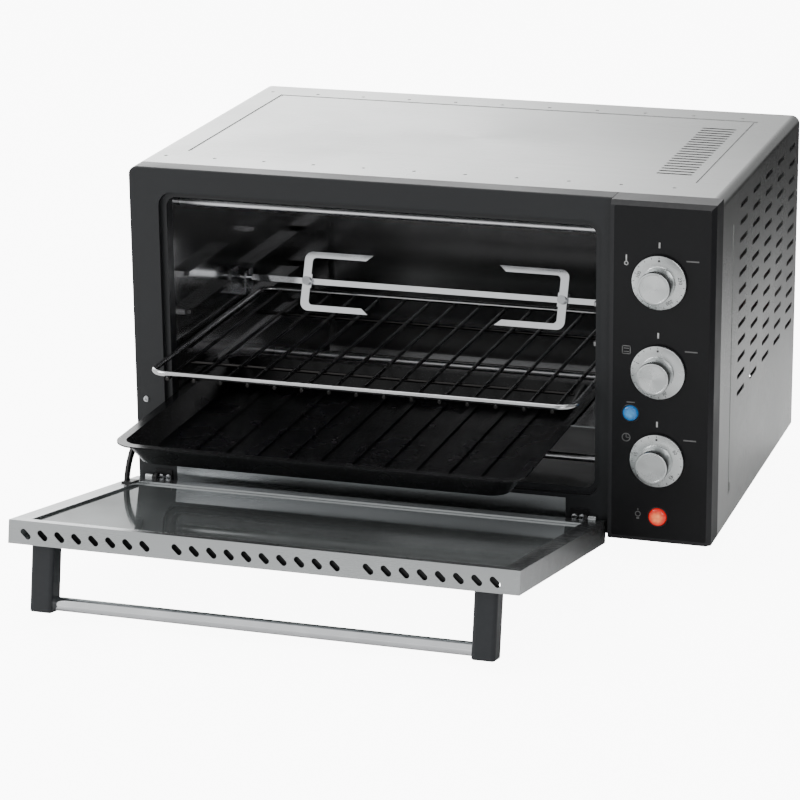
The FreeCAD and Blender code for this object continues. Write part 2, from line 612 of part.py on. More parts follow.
def build_cavity():
    """Five plates that line the oven, the tray's runners and the spit's rest."""
    build_side_wall("cavity_left_wall", "left")
    build_side_wall("cavity_right_wall", "right")
    between = ("cavity_left", "cavity_right")
    node("cavity_ceiling", block("cavity_ceiling", between, CAVITY_Y, ("cavity_top", "cavity_top + cavity_wall")))
    node("cavity_floor", block("cavity_floor", between, CAVITY_Y, ("cavity_bottom - cavity_wall", "cavity_bottom")))
    plate = block("back_plate", ("cavity_left - cavity_wall", "cavity_right + cavity_wall"),
                  ("cavity_rear", "cavity_rear + cavity_wall"), CAVITY_Z)
    bulge_x = ("cavity_left + bulge_side", "cavity_right - bulge_side")
    bulge_z = ("cavity_bottom + bulge_low", "cavity_top - bulge_top")
    bulge = block("bulge_outer", tuple(f"{text} {sign} cavity_wall" for text, sign in zip(bulge_x, "-+")),
                  ("cavity_rear", "cavity_rear + bulge_depth + cavity_wall"),
                  tuple(f"{text} {sign} cavity_wall" for text, sign in zip(bulge_z, "-+")))
    space = block("bulge_inner", bulge_x, ("cavity_rear - 1", "cavity_rear + bulge_depth"), bulge_z)
    node("cavity_back", cut("cavity_back", join("back_body", [plate, bulge]), [space]))
    build_runner("tray_runner_left", "cavity_left", "(tray_left + tray_flange - 2 * rest_play)", 1)
    build_runner("tray_runner_right", "cavity_right",
                 "(tray_left + tray_width - tray_flange + 2 * rest_play)", -1)
    build_spit_rest()


def build_runner(name, wall, tip, way):
    """An angle strip on a side wall that the tray's rim slides on."""
    top = "(tray_rim_height - tray_wall - rest_play)"
    leg_edge = f"{wall} {'+' if way > 0 else '-'} runner_thick"
    ledge_x = (wall, tip) if way > 0 else (tip, wall)
    leg_x = (wall, leg_edge) if way > 0 else (leg_edge, wall)
    ledge = block(name + "_ledge", ledge_x, ("runner_front", "runner_rear"), (f"{top} - runner_thick", top))
    leg = block(name + "_leg", leg_x, ("runner_front", "runner_rear"), (f"{top} - runner_leg", top))
    node(name, join(name, [ledge, leg]))


def build_spit_rest():
    """The bent bracket on the left wall with the notch that the spit's round end turns in."""
    y = ("spit_y - support_half", "spit_y + support_half")
    plate = block("rest_plate", ("support_x", "support_x + support_thick"), y,
                  ("spit_z - support_drop", "spit_z + support_rise"))
    floor = block("rest_floor", ("cavity_left", "support_x + support_thick"), y,
                  ("spit_z - support_drop", "spit_z - support_drop + support_thick"))
    foot = block("rest_foot", ("cavity_left", "cavity_left + support_thick"), y,
                 ("spit_z - support_drop", "spit_z + support_rise"))
    notch = "journal_radius + journal_play"
    round_end = rod("rest_notch_round", "x", ("support_x - 1", "spit_y", "spit_z"), "support_thick + 2", notch)
    mouth = block("rest_notch_mouth", ("support_x - 1", "support_x + support_thick + 1"),
                  (f"spit_y - ({notch})", f"spit_y + {notch}"), ("spit_z", "spit_z + support_rise + 1"))
    node("spit_support", cut("spit_support", join("rest_body", [plate, floor, foot]), [round_end, mouth]))


def build_heaters():
    """Four straight sheathed rods across the cavity, each held at both ends by a ceramic bush."""
    start = "cavity_left - heater_overhang"
    length = "cavity_right - cavity_left + 2 * heater_overhang"
    bushes = []
    for name, (y, z) in HEATERS.items():
        sheath = rod(name + "_sheath", "x", (start, y, z), length, "heater_radius")
        studs = [rod(f"{name}_stud_{i}", "x", (x, y, z), "7", "1.6")
                 for i, x in enumerate((f"{start} - 6", f"{start} + {length} - 1"))]
        node(name, join(name, [sheath] + studs))
        for i, x in enumerate(("cavity_left - cavity_wall - insulator_length", "cavity_right + cavity_wall")):
            ring = rod(f"{name}_ring_{i}", "x", (x, y, z), "insulator_length", "insulator_radius")
            bore = rod(f"{name}_ring_bore_{i}", "x", (f"{x} - 1", y, z), "insulator_length + 2",
                       "heater_radius + rest_play / 10")
            bushes.append(cut(f"{name}_bush_{i}", ring, [bore]))
    node("heater_insulators", group("heater_insulators", bushes))


# ---------------------------------------------------------------- rotisserie

def place_on_spit(item, x):
    """Put a piece drawn about the spit's axis at a distance from the housing's left side."""
    return turned(item, "x", "-spit_turn", (x, "spit_y", "spit_z"))


def square_bar(name, x, side):
    """A square bar about the local X axis."""
    half = f"({side}) / 2"
    return block(name, x, (f"-{half}", half), (f"-{half}", half), LOCAL)


def build_spit():
    """The square spit with its round end and point, the drive coupler and the geared motor."""
    bar = square_bar("spit_bar", ("0", "spit_right - spit_left"), "spit_side")
    journal = rod("spit_journal", "x", ("-journal_length", "0", "0"), "journal_length + 1", "journal_radius", LOCAL)
    point = doc.addObject("Part::Cone", "spit_point")
    point.Placement.Rotation = Rotation(AXES["y"], -90)
    point.setExpression("Radius1", formula("journal_radius"))
    point.setExpression("Radius2", formula("journal_radius / 6"))
    point.setExpression("Height", formula("tip_length"))
    bind_place(point, ("-journal_length", "0", "0"), LOCAL)
    node("spit_rod", place_on_spit(join("spit_rod", [bar, journal, point]), "spit_left"))

    head = rod("coupler_head", "x", ("0", "0", "0"), "coupler_length", "coupler_radius", LOCAL)
    neck = rod("coupler_neck", "x", ("coupler_length - 1", "0", "0"),
               "cavity_right + cavity_wall + drive_length - coupler_left - coupler_length + 1",
               "drive_radius", LOCAL)
    socket = square_bar("coupler_socket", ("-1", "socket_depth"), "spit_side + 2 * socket_play")
    coupler = cut("drive_coupler", join("coupler_body", [head, neck]), [socket])
    node("drive_coupler", place_on_spit(coupler, "coupler_left"))

    wall_face = "cavity_right + cavity_wall"
    case = block("gearbox", (wall_face, f"{wall_face} + gearbox_length"),
                 ("spit_y - gearbox_half_y", "spit_y + gearbox_half_y"),
                 ("spit_z - gearbox_low", "spit_z + gearbox_high"))
    case = rounded("gearbox_round", case, 3, runs_along("x"))
    can = rod("motor_can", "x", (f"{wall_face} + gearbox_length - 1", "spit_y", "spit_z"),
              "motor_length + 1", "motor_radius")
    bore = rod("drive_bore", "x", (f"{wall_face} - 1", "spit_y", "spit_z"),
               "drive_length + 2", "drive_radius + drive_play")
    node("spit_motor", cut("spit_motor", join("motor_body", [case, can]), [bore]))


SADDLE = "(spit_side / 2 + socket_play + fork_thick)"


def fork_shape(way):
    """A stamped two-pronged plate in front of the spit, with a square-holed clamp behind it."""
    reach, arm, thick = sheet.fork_reach, sheet.fork_width, sheet.fork_thick
    length, inner = sheet.prong_length, reach - sheet.prong_width
    hole_half = sheet.spit_side / 2 + sheet.socket_play
    saddle = hole_half + thick
    corners = [(0, -reach), (0, reach), (length, reach), (length - sheet.prong_point, inner), (arm, inner),
               (arm, -inner), (length - sheet.prong_point, -inner), (length, -reach)]
    outline = [Vector(x, -saddle, z) for x, z in corners]
    plate = Part.Face(Part.makePolygon(outline + outline[:1])).extrude(Vector(0, thick, 0))
    bends = [e for e in plate.Edges if runs_along("y")(e) and abs(middle(e).x) < 0.01]
    plate = plate.makeFillet(sheet.fork_bend, bends)
    bends = [e for e in plate.Edges if runs_along("y")(e) and abs(middle(e).x - arm) < 0.01]
    plate = plate.makeFillet(sheet.fork_bend / 2, bends)
    high = saddle + sheet.hub_margin
    clamp = Part.makeBox(sheet.hub_length, 2 * saddle, 2 * high, Vector(0, -saddle, -high))
    hole = Part.makeBox(sheet.hub_length + 2, 2 * hole_half, 2 * hole_half, Vector(-1, -hole_half, -hole_half))
    screw_hole = Part.makeCylinder(sheet.thumb_radius + sheet.thumb_play, saddle + 1,
                                   Vector(sheet.hub_length / 2, 0, 0), Vector(0, -1, 0))
    fork = plate.fuse(clamp).removeSplitter().cut(hole.fuse(screw_hole))
    if way < 0:
        fork = fork.mirror(Vector(), AXES["x"])
    return fork


def build_forks():
    """Two forks that slide on the spit, each clamped by a screw through its plate."""
    for side, way in (("left", 1), ("right", -1)):
        x = f"fork_{side}_x"
        fork = solid(f"fork_{side}", fork_shape(way))
        node(f"fork_{side}", place_on_spit(fork, x))
        along = f"{'' if way > 0 else '-'}hub_length / 2"
        stem = rod(f"thumb_stem_{side}", "y", (along, f"-{SADDLE} - thumb_gap - 1", "0"),
                   f"{SADDLE} + thumb_gap + 1 - spit_side / 2 - rest_play / 3", "thumb_radius", LOCAL)
        head = rod(f"thumb_head_{side}", "y", (along, f"-{SADDLE} - thumb_gap - thumb_head_length", "0"),
                   "thumb_head_length", "thumb_head", LOCAL)
        node(f"thumbscrew_{side}", place_on_spit(join(f"thumbscrew_{side}", [stem, head]), x))


# ---------------------------------------------------------------- rack and tray

def rounded_loop(x0, x1, y0, y1, z, corner):
    """A level rectangle of wire with round corners, in the housing's frame."""
    edges = []
    turn = corner * (1 - math.sqrt(0.5))
    spans = [((x0 + corner, y0), (x1 - corner, y0)), ((x1, y0 + corner), (x1, y1 - corner)),
             ((x1 - corner, y1), (x0 + corner, y1)), ((x0, y1 - corner), (x0, y0 + corner))]
    bends = [(x1 - turn, y0 + turn), (x1 - turn, y1 - turn), (x0 + turn, y1 - turn), (x0 + turn, y0 + turn)]
    for index, (start, end) in enumerate(spans):
        following = spans[(index + 1) % 4][0]
        edges.append(Part.makeLine(housing_point(*start, z), housing_point(*end, z)))
        bend = Part.Arc(housing_point(*end, z), housing_point(*bends[index], z), housing_point(*following, z))
        edges.append(bend.toShape())
    return Part.Wire(edges)


def swept_wire(path, radius):
    """A round wire along a closed path."""
    edge = path.Edges[0]
    start = edge.valueAt(edge.FirstParameter)
    circle = Part.Wire(Part.makeCircle(radius, start, edge.tangentAt(edge.FirstParameter)))
    return path.makePipeShell([circle], True, True)


def build_rack():
    """The wire rack: a thick rim, one cross wire and the thin bars welded under it."""
    centre = (sheet.cavity_left + sheet.cavity_right) / 2
    x0, x1 = centre - sheet.rack_width / 2, centre + sheet.rack_width / 2
    y0, y1 = -sheet.rack_out, -sheet.rack_out + sheet.rack_depth
    rim = swept_wire(rounded_loop(x0, x1, y0, y1, sheet.rack_height, sheet.rack_corner), sheet.rack_wire / 2)
    bar_radius = sheet.rack_bar / 2
    bar_z = sheet.rack_height - sheet.rack_wire / 2 - bar_radius + sheet.rack_weld
    wires = []
    for index in range(int(sheet.rack_bar_count)):
        x = centre + (index - (sheet.rack_bar_count - 1) / 2) * sheet.rack_bar_pitch
        overhang = sheet.rack_wire / 2 - 0.4
        wires.append(Part.makeCylinder(bar_radius, sheet.rack_depth + 2 * overhang,
                                       housing_point(x, y0 - overhang, bar_z), AXES["y"]))
    cross_z = bar_z - sheet.rack_bar + 2 * sheet.rack_weld
    for y in (y0 + sheet.rack_cross_inset, y1 - sheet.rack_cross_inset):
        half = (sheet.rack_bar_count - 1) / 2 * sheet.rack_bar_pitch + sheet.rack_bar
        wires.append(Part.makeCylinder(bar_radius, 2 * half, housing_point(centre - half, y, cross_z), AXES["x"]))
    node("wire_rack", solid("wire_rack", rim.fuse(wires)))


def level_rectangle(inset, z, corner):
    """A level rounded rectangle inside the tray's rim."""
    x0, y0 = sheet.tray_left + inset, -sheet.tray_out + inset
    return rounded_loop(x0, sheet.tray_left + sheet.tray_width - inset, y0,
                        -sheet.tray_out + sheet.tray_depth - inset, z, max(corner - inset, 3))


def build_tray():
    """The pressed tray: tapered walls, a flat rim and long ribs in its floor."""
    top, wall = sheet.tray_rim_height, sheet.tray_wall
    floor = top - sheet.tray_high
    corner = sheet.tray_corner
    flange, taper = sheet.tray_flange, sheet.tray_taper

    def loft(inset, low, high):
        rings = [level_rectangle(inset + taper, low, corner + taper), level_rectangle(inset, high, corner)]
        return Part.makeLoft(rings, True, True)

    rim = Part.Face(level_rectangle(0, top - wall, corner)).extrude(Vector(0, 0, wall))
    outside = loft(flange, floor, top)
    slope = taper / sheet.tray_high
    inside = loft(flange + wall - slope * wall, floor + wall, top + wall)
    shape = rim.fuse(outside).cut(inside)
    ribs = []
    centre = sheet.tray_left + sheet.tray_width / 2
    count = int((sheet.tray_width - 2 * (flange + taper + sheet.tray_rib_inset)) / sheet.tray_rib_pitch) + 1
    long_y = sheet.tray_depth - 2 * (flange + taper + sheet.tray_rib_inset)
    for index in range(count):
        x = centre + (index - (count - 1) / 2) * sheet.tray_rib_pitch
        at = housing_point(x, -sheet.tray_out + sheet.tray_depth / 2, floor + wall)
        rib = stadium(at, AXES["y"], AXES["x"] * -1, long_y, sheet.tray_rib_width, sheet.tray_rib_high)
        ribs.append(rib.common(Part.makeBox(900, 900, 50, at + Vector(-450, -450, -wall / 2))))
    node("bake_tray", solid("bake_tray", shape.fuse(ribs).removeSplitter()))


# ---------------------------------------------------------------- door

def place_on_hinge(item):
    """Turn a piece drawn for the closed door about the hinge axis to its lowered position."""
    return turned(item, "x", "open_angle", ("0", f"-{STANDOFF}", "hinge_rise"))


def door_block(name, x, depth, height):
    """A box of the closed door: depth is measured inwards from the inner face, height from the hinge."""
    return block(name, x, (f"-({depth[1]})", f"-({depth[0]})"), height, LOCAL)


def build_door_rail(side):
    """A channel down one side of the door, with the hinge lug at its foot."""
    name = "door_rail_" + side
    lap = "door_length - strip_inner_lap"
    if side == "left":
        edge, way = "door_left", "+"
    else:
        edge, way = "door_right", "-"

    def span(near, far):
        pair = (f"{edge} {way} {near}", f"{edge} {way} {far}")
        return pair if side == "left" else (pair[1], pair[0])

    outer = door_block(name + "_outer", span("0", "rail_width"), ("0", "door_thick"), ("0", lap))
    web = door_block(name + "_web", span("0", "rail_web"), ("0", "door_thick"), ("0", "door_length"))
    lug = rod(name + "_lug", "x", (span("(rail_width - lug_width)", "rail_width")[0], "0", "0"), "lug_width",
              KNUCKLE, LOCAL)
    hollow = door_block(name + "_hollow", span("rail_web", "(rail_width + 1)"),
                        ("rail_wall", "door_thick - rail_wall"), (f"{KNUCKLE} + 1", f"{lap} + 1"))
    notch = door_block(name + "_notch", span("rail_web", "(rail_width + 1)"),
                       ("door_thick - rail_wall - 0.1", "door_thick + 1"),
                       ("door_length - strip_outer_lap", f"{lap} + 1"))
    bore = rod(name + "_bore", "x", (span("(rail_width - lug_width)", "(rail_width + 1)")[0], "0", "0"),
               "lug_width + 1", "pin_radius", LOCAL)
    body = join(name + "_body", [outer, web, lug])
    node(name, place_on_hinge(cut(name, body, [hollow, notch, bore])))
    pin_start = span("(rail_width - lug_width)", "(rail_width - lug_width + pin_length)")[0]
    node("hinge_pin_" + side, place_on_hinge(rod("hinge_pin_" + side, "x", (pin_start, "0", "0"), "pin_length",
                                                 "pin_radius", LOCAL)))


INSIDE_X = ("door_left + rail_width", "door_right - rail_width")
STRIP_X = ("door_left + rail_web", "door_right - rail_web")


def strip_slots():
    """Slanted air slots in the strip's edge, in groups with the gaps between them left plain."""
    slots = []
    x = sheet.door_left + sheet.strip_slot_first
    lean = math.radians(sheet.strip_slot_lean)
    along = Vector(math.cos(lean), -math.sin(lean), 0)
    across = Vector(math.sin(lean), math.cos(lean), 0)
    for count in (sheet.strip_group_short, sheet.strip_group_long, sheet.strip_group_long):
        for _ in range(int(count)):
            at = Vector(x, -sheet.door_thick / 2 - 1, sheet.door_length)
            if x < sheet.door_right - sheet.strip_slot_first:
                slots.append(stadium(at, along, across, sheet.strip_slot_length, sheet.strip_slot_width, 2))
            x += sheet.strip_slot_pitch
        x += sheet.strip_group_gap - sheet.strip_slot_pitch
    return Part.Compound(slots)


def build_door_frame():
    """The bottom channel, the slotted strip along the free edge, and the glass."""
    outer = door_block("bottom_rail_outer", INSIDE_X, ("0", "door_thick"),
                       ("bottom_rail_start", "bottom_rail_start + bottom_rail_width"))
    hollow = door_block("bottom_rail_hollow", tuple(f"{x} {way} 1" for x, way in zip(INSIDE_X, "-+")),
                        ("rail_wall", "door_thick - rail_wall"),
                        ("bottom_rail_start + rail_wall", "bottom_rail_start + bottom_rail_width + 1"))
    node("door_bottom_rail", place_on_hinge(cut("door_bottom_rail", outer, [hollow])))

    outer = door_block("strip_outer", STRIP_X, ("0", "door_thick"), ("door_length - strip_outer_lap", "door_length"))
    wide = tuple(f"{x} {way} 1" for x, way in zip(STRIP_X, "-+"))
    hollow = door_block("strip_hollow", wide, ("strip_wall", "door_thick - strip_wall"),
                        ("door_length - strip_outer_lap - 1", "door_length - strip_wall"))
    step = door_block("strip_step", wide, ("-1", "strip_wall + 0.1"),
                      ("door_length - strip_outer_lap - 1", "door_length - strip_inner_lap"))
    screw_holes = [rod(f"strip_screw_hole_{side}", "y", (x, "-door_thick - 1", "post_top - bar_drop"), "4",
                       "handle_screw_radius + hole_play", LOCAL) for side, x in POST_CENTRES.items()]
    strip = cut("door_strip", outer, [hollow, step, solid("strip_slots", strip_slots())] + screw_holes)
    node("door_strip", place_on_hinge(strip))

    glass = door_block("door_glass", tuple(f"{x} {way} glass_edge" for x, way in zip(STRIP_X, "+-")),
                       ("rail_wall + glass_gap", "rail_wall + glass_gap + glass_thick"),
                       ("bottom_rail_start + rail_wall + glass_edge", "door_length - strip_wall - glass_edge"))
    node("door_glass", place_on_hinge(glass))


POST_CENTRES = {"left": "(door_left + post_inset + post_width / 2)",
                "right": "(door_right - post_inset - post_width / 2)"}


def build_post(side):
    """A moulded handle post, square with rounded corners, with the bar's socket in its inner side."""
    name = "handle_post_" + side
    x = POST_CENTRES[side]
    body = new_body(name)
    sketch = rectangle_sketch(body, name + "_section", (f"{x} - post_width / 2", "post_top - post_high"),
                              (f"{x} + post_width / 2", "post_top"), "door_thick")
    pad(body, name + "_length", sketch, "post_reach - door_thick")
    round_body(body, name + "_corners", "post_round", runs_along("y"))
    end = -sheet.post_reach + 0.01
    round_body(body, name + "_end", "post_round / 2", lambda e: e.BoundBox.YMax < end)
    start = f"{x} + post_width / 2 - bar_socket" if side == "left" else f"{x} - post_width / 2 - 1"
    socket = rod(name + "_socket", "x", (start, "-bar_reach", "post_top - bar_drop"), "bar_socket + 1",
                 "bar_radius", LOCAL)
    screw = rod(name + "_screw_bore", "y", (x, "-door_thick - handle_screw_length", "post_top - bar_drop"),
                "handle_screw_length + 1", "handle_screw_radius", LOCAL)
    node(name, place_on_hinge(cut(name + "_finished", body, [socket, screw])))


def build_handle():
    """Two posts, the round bar between them and their two screws."""
    build_post("left")
    build_post("right")
    start = f"{POST_CENTRES['left']} + post_width / 2 - bar_socket"
    end = f"{POST_CENTRES['right']} - post_width / 2 + bar_socket"
    node("handle_bar", place_on_hinge(rod("handle_bar", "x", (start, "-bar_reach", "post_top - bar_drop"),
                                          f"({end}) - ({start})", "bar_radius", LOCAL)))
    screws = []
    for side, x in POST_CENTRES.items():
        z = "post_top - bar_drop"
        shank = rod(f"handle_shank_{side}", "y", (x, "-door_thick - handle_screw_length", z),
                    "handle_screw_length + strip_wall + 1", "handle_screw_radius", LOCAL)
        head = rod(f"handle_head_{side}", "y", (x, "-door_thick + strip_wall", z), "handle_screw_head_high",
                   "handle_screw_head", LOCAL)
        screws.append(join(f"handle_screw_{side}", [shank, head]))
    node("handle_screws", place_on_hinge(group("handle_screws", screws)))


def build_stay():
    """The curved stay beside the left hinge: an arc about the hinge axis with a stop at its end."""
    arc = rod("stay_arc_outer", "x", ("stay_x", "0", "0"), "stay_thick", "stay_radius + stay_width / 2", LOCAL)
    inner = rod("stay_arc_inner", "x", ("stay_x - 1", "0", "0"), "stay_thick + 2", "stay_radius - stay_width / 2",
                LOCAL)
    ring = cut("stay_ring", arc, [inner])
    sweep = math.radians(sheet.stay_sweep)
    reach = 2 * sheet.stay_radius
    steps = 8
    fan = [Vector(sheet.stay_x - 1, 0, 0)]
    for i in range(steps + 1):
        angle = sweep * i / steps
        fan.append(Vector(sheet.stay_x - 1, reach * math.sin(angle), reach * math.cos(angle)))
    wedge = Part.Face(Part.makePolygon(fan + fan[:1])).extrude(Vector(sheet.stay_thick + 2, 0, 0))
    piece = doc.addObject("Part::Common", "stay_sector")
    piece.Base = ring
    piece.Tool = solid("stay_wedge", wedge)
    stop = rod("stay_stop", "x", ("stay_x", "stay_radius * sin(stay_sweep)", "stay_radius * cos(stay_sweep)"),
               "stay_thick", "stay_stop", LOCAL)
    tab = block("stay_tab", ("stay_x", "stay_x + stay_tab_wide"), ("0", "stay_tab_thick"),
                ("stay_radius - stay_tab_long / 2", "stay_radius + stay_tab_long / 2"), LOCAL)
    node("door_stay", place_on_hinge(join("door_stay", [piece, stop, tab])))


def build_hinge_brackets():
    """Two brackets on the front frame whose ears carry the hinge pins."""
    for side in ("left", "right"):
        name = "hinge_bracket_" + side
        if side == "left":
            near = "(door_left + rail_width + ear_gap)"
            ear_x = (near, f"{near} + ear_thick")
            plate_x = (near, f"{near} + ear_thick + bracket_plate")
        else:
            near = "(door_right - rail_width - ear_gap)"
            ear_x = (f"{near} - ear_thick", near)
            plate_x = (f"{near} - ear_thick - bracket_plate", near)
        ear = rod(name + "_ear", "x", (ear_x[0], f"-{STANDOFF}", "hinge_rise"), "ear_thick", KNUCKLE)
        neck = block(name + "_neck", ear_x, (f"-{STANDOFF}", "-frame_depth"),
                     (f"hinge_rise - {KNUCKLE}", f"hinge_rise + {KNUCKLE}"))
        plate = block(name + "_plate", plate_x, ("-frame_depth - bracket_thick", "-frame_depth"),
                      ("hinge_rise - bracket_high / 2", "hinge_rise + bracket_high / 2"))
        bore = rod(name + "_bore", "x", (f"{ear_x[0]} - 1", f"-{STANDOFF}", "hinge_rise"), "ear_thick + 2",
                   "pin_radius + pin_play")
        node(name, cut(name, join(name + "_body", [ear, neck, plate]), [bore]))


# ---------------------------------------------------------------- feet, fasteners and rear fittings

def build_feet():
    """Four tapered rubber feet under the base plate."""
    corners = [(x, y) for x in ("foot_inset_side", "housing_width - foot_inset_side")
               for y in ("foot_inset_end", "housing_depth - foot_inset_end")]
    for (x, y), name in zip(corners, ("foot_front_left", "foot_rear_left", "foot_front_right", "foot_rear_right")):
        foot = doc.addObject("Part::Cone", name)
        foot.setExpression("Radius1", formula("foot_radius"))
        foot.setExpression("Radius2", formula("foot_radius + foot_flare"))
        foot.setExpression("Height", formula("foot_height"))
        bind_place(foot, (x, y, "-foot_height"))
        node(name, foot)


def build_screws():
    """The screws of the back panel, the front frame and the hinge brackets, as one group of heads."""
    heads = []
    for i, x in enumerate(("screw_inset", "housing_width / 2", "housing_width - screw_inset")):
        for j, z in enumerate(("screw_inset", "housing_height - screw_inset")):
            heads.append(rod(f"back_screw_{i}{j}", "y", (x, "housing_depth", z), "screw_head_high", "screw_head"))
    heads.append(rod("frame_screw", "y", ("frame_screw_inset", "-frame_depth - screw_head_high", "frame_screw_height"),
                     "screw_head_high", "screw_head"))
    for near in ("door_left + rail_width + ear_gap + ear_thick",
                 "door_right - rail_width - ear_gap - ear_thick - bracket_plate"):
        for step in (1, 3):
            heads.append(rod(f"bracket_screw_{len(heads)}", "y",
                             (f"{near} + bracket_plate * {step} / 4",
                              "-frame_depth - bracket_thick - screw_head_high", "hinge_rise"),
                             "screw_head_high", "screw_head"))
    node("case_screws", group("case_screws", heads))


def build_gland():
    """The cord gland in the back panel, with no cord in it."""
    x, z = "housing_width - gland_inset", "gland_height"
    tube = rod("gland_tube", "y", (x, "housing_depth - gland_inside", z), "gland_inside + gland_reach",
               "gland_radius")
    collar = rod("gland_collar", "y", (x, "housing_depth", z), "gland_flange_thick", "gland_flange")
    bore = rod("gland_bore", "y", (x, "housing_depth - gland_inside - 1", z), "gland_inside + gland_reach + 2",
               "gland_bore")
    node("cord_gland", cut("cord_gland", join("gland_body", [tube, collar]), [bore]))


# ---------------------------------------------------------------- build, test and write

build_housing()
build_front_frame()
build_control_panel()
build_controls()
build_cavity()
build_heaters()
build_spit()
build_forks()
build_rack()
build_tray()
build_door_rail("left")
build_door_rail("right")
build_door_frame()
build_handle()
build_stay()
build_hinge_brackets()
build_feet()
build_screws()
build_gland()
doc.recompute()

for item in doc.Objects:
    if {"Invalid", "Error"} & set(item.State):
        raise RuntimeError(f"{item.Name} failed: {item.State}")
os.makedirs("parts", exist_ok=True)
for name, item in NODES.items():
    shape = item.Shape
    if shape.isNull() or not shape.isValid() or not shape.Solids:
        raise RuntimeError(f"{name} has no valid solid")
    shape.exportStep(f"parts/{name}.step")
print(len(NODES), "nodes written, front edge of the housing at y =", round(FRONT_MM, 3))
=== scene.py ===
import json
import logging
import math
from dataclasses import dataclass
from enum import Enum
from typing import ClassVar, Sequence

import bpy
from mathutils import Matrix, Vector


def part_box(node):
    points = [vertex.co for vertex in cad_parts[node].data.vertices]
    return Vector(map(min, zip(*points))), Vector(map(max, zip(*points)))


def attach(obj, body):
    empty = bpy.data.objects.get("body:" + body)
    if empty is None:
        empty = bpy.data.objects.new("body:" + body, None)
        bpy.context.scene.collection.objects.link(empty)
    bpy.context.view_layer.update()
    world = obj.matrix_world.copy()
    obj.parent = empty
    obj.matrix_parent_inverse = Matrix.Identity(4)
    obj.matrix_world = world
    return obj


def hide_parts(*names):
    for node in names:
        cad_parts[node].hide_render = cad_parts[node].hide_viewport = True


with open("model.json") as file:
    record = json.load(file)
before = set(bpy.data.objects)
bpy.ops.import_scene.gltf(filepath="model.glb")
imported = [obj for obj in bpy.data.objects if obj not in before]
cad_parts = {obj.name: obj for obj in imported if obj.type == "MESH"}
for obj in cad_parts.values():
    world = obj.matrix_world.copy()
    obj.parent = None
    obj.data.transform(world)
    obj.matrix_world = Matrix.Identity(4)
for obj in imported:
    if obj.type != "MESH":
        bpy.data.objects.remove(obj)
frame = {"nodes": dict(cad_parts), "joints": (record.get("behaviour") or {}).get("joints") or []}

log = logging.getLogger("rotisserie_oven")
MM = 0.001
CORNER = Vector(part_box("housing_wrap")[0])
Colour = Sequence[float]


def spot(x: float, y: float, z: float) -> Vector:
    """Turn a place in the housing's own millimetres into the frame's metres.

    Args:
        x: Distance from the housing's left side.
        y: Distance behind the housing's front edge.
        z: Height above the housing's underside.

    Returns:
        The point in the frame, in metres.
    """
    return CORNER + Vector((x, y, z)) * MM


def turn(degrees: float, axis: str) -> Matrix:
    """Return a rotation about an axis through the origin."""
    return Matrix.Rotation(math.radians(degrees), 4, axis)


def node_box(name: str) -> tuple[Vector, Vector, Vector]:
    """Return a CAD node's lowest corner, highest corner and middle, in metres."""
    low, high = (Vector(corner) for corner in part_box(name))
    return low, high, (low + high) / 2


def on_front(name: str) -> Matrix:
    """Return the move from the housing's corner, on y = 0, to the front of a CAD node."""
    return Matrix.Translation((CORNER.x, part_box(name)[0][1], CORNER.z))


# Pieces drawn standing on z = 0 are turned to look forward or backward.
FORWARD = turn(90, "X")
BACKWARD = turn(-90, "X")


class Way(Enum):
    """The axis that a sheet's grinding lines run along."""

    X = (1.0, 0.0, 0.0)
    Z = (0.0, 0.0, 1.0)


# ------------------------------------------------------------------ shader nodes


def add_node(tree: bpy.types.NodeTree, kind: str, inputs: dict[str | int, object] | None = None,
             **settings: object) -> bpy.types.Node:
    """Add a shader node, set its options and fill its inputs.

    Args:
        tree: The tree that it joins.
        kind: The node's type, without the leading ShaderNode.
        inputs: For an input's name or number, the socket that feeds it or its fixed value.
        **settings: Options of the node itself, such as its operation.

    Returns:
        The node.
    """
    node = tree.nodes.new("ShaderNode" + kind)
    for option, value in settings.items():
        setattr(node, option, value)
    for key, given in (inputs or {}).items():
        if isinstance(given, bpy.types.NodeSocket):
            tree.links.new(given, node.inputs[key])
        else:
            node.inputs[key].default_value = given
    return node


def maths(tree: bpy.types.NodeTree, kind: str, first: object, second: object) -> bpy.types.NodeSocket:
    """Return the result of a maths node on two sockets or numbers."""
    return add_node(tree, "Math", {0: first, 1: second}, operation=kind).outputs[0]


def ramp(tree: bpy.types.NodeTree, value: bpy.types.NodeSocket, start: float, end: float, low: float = 0.0,
         high: float = 1.0, soft: bool = False) -> bpy.types.NodeSocket:
    """Spread a value over a range.

    Args:
        tree: The tree that the node joins.
        value: The value.
        start: Where the result is low.
        end: Where the result is high.
        low: The result at the start and before it.
        high: The result at the end and past it.
        soft: Whether both ends are eased.

    Returns:
        The result's socket.
    """
    inputs = {"Value": value, "From Min": start, "From Max": end, "To Min": low, "To Max": high}
    shape = "SMOOTHSTEP" if soft else "LINEAR"
    return add_node(tree, "MapRange", inputs, interpolation_type=shape).outputs["Result"]


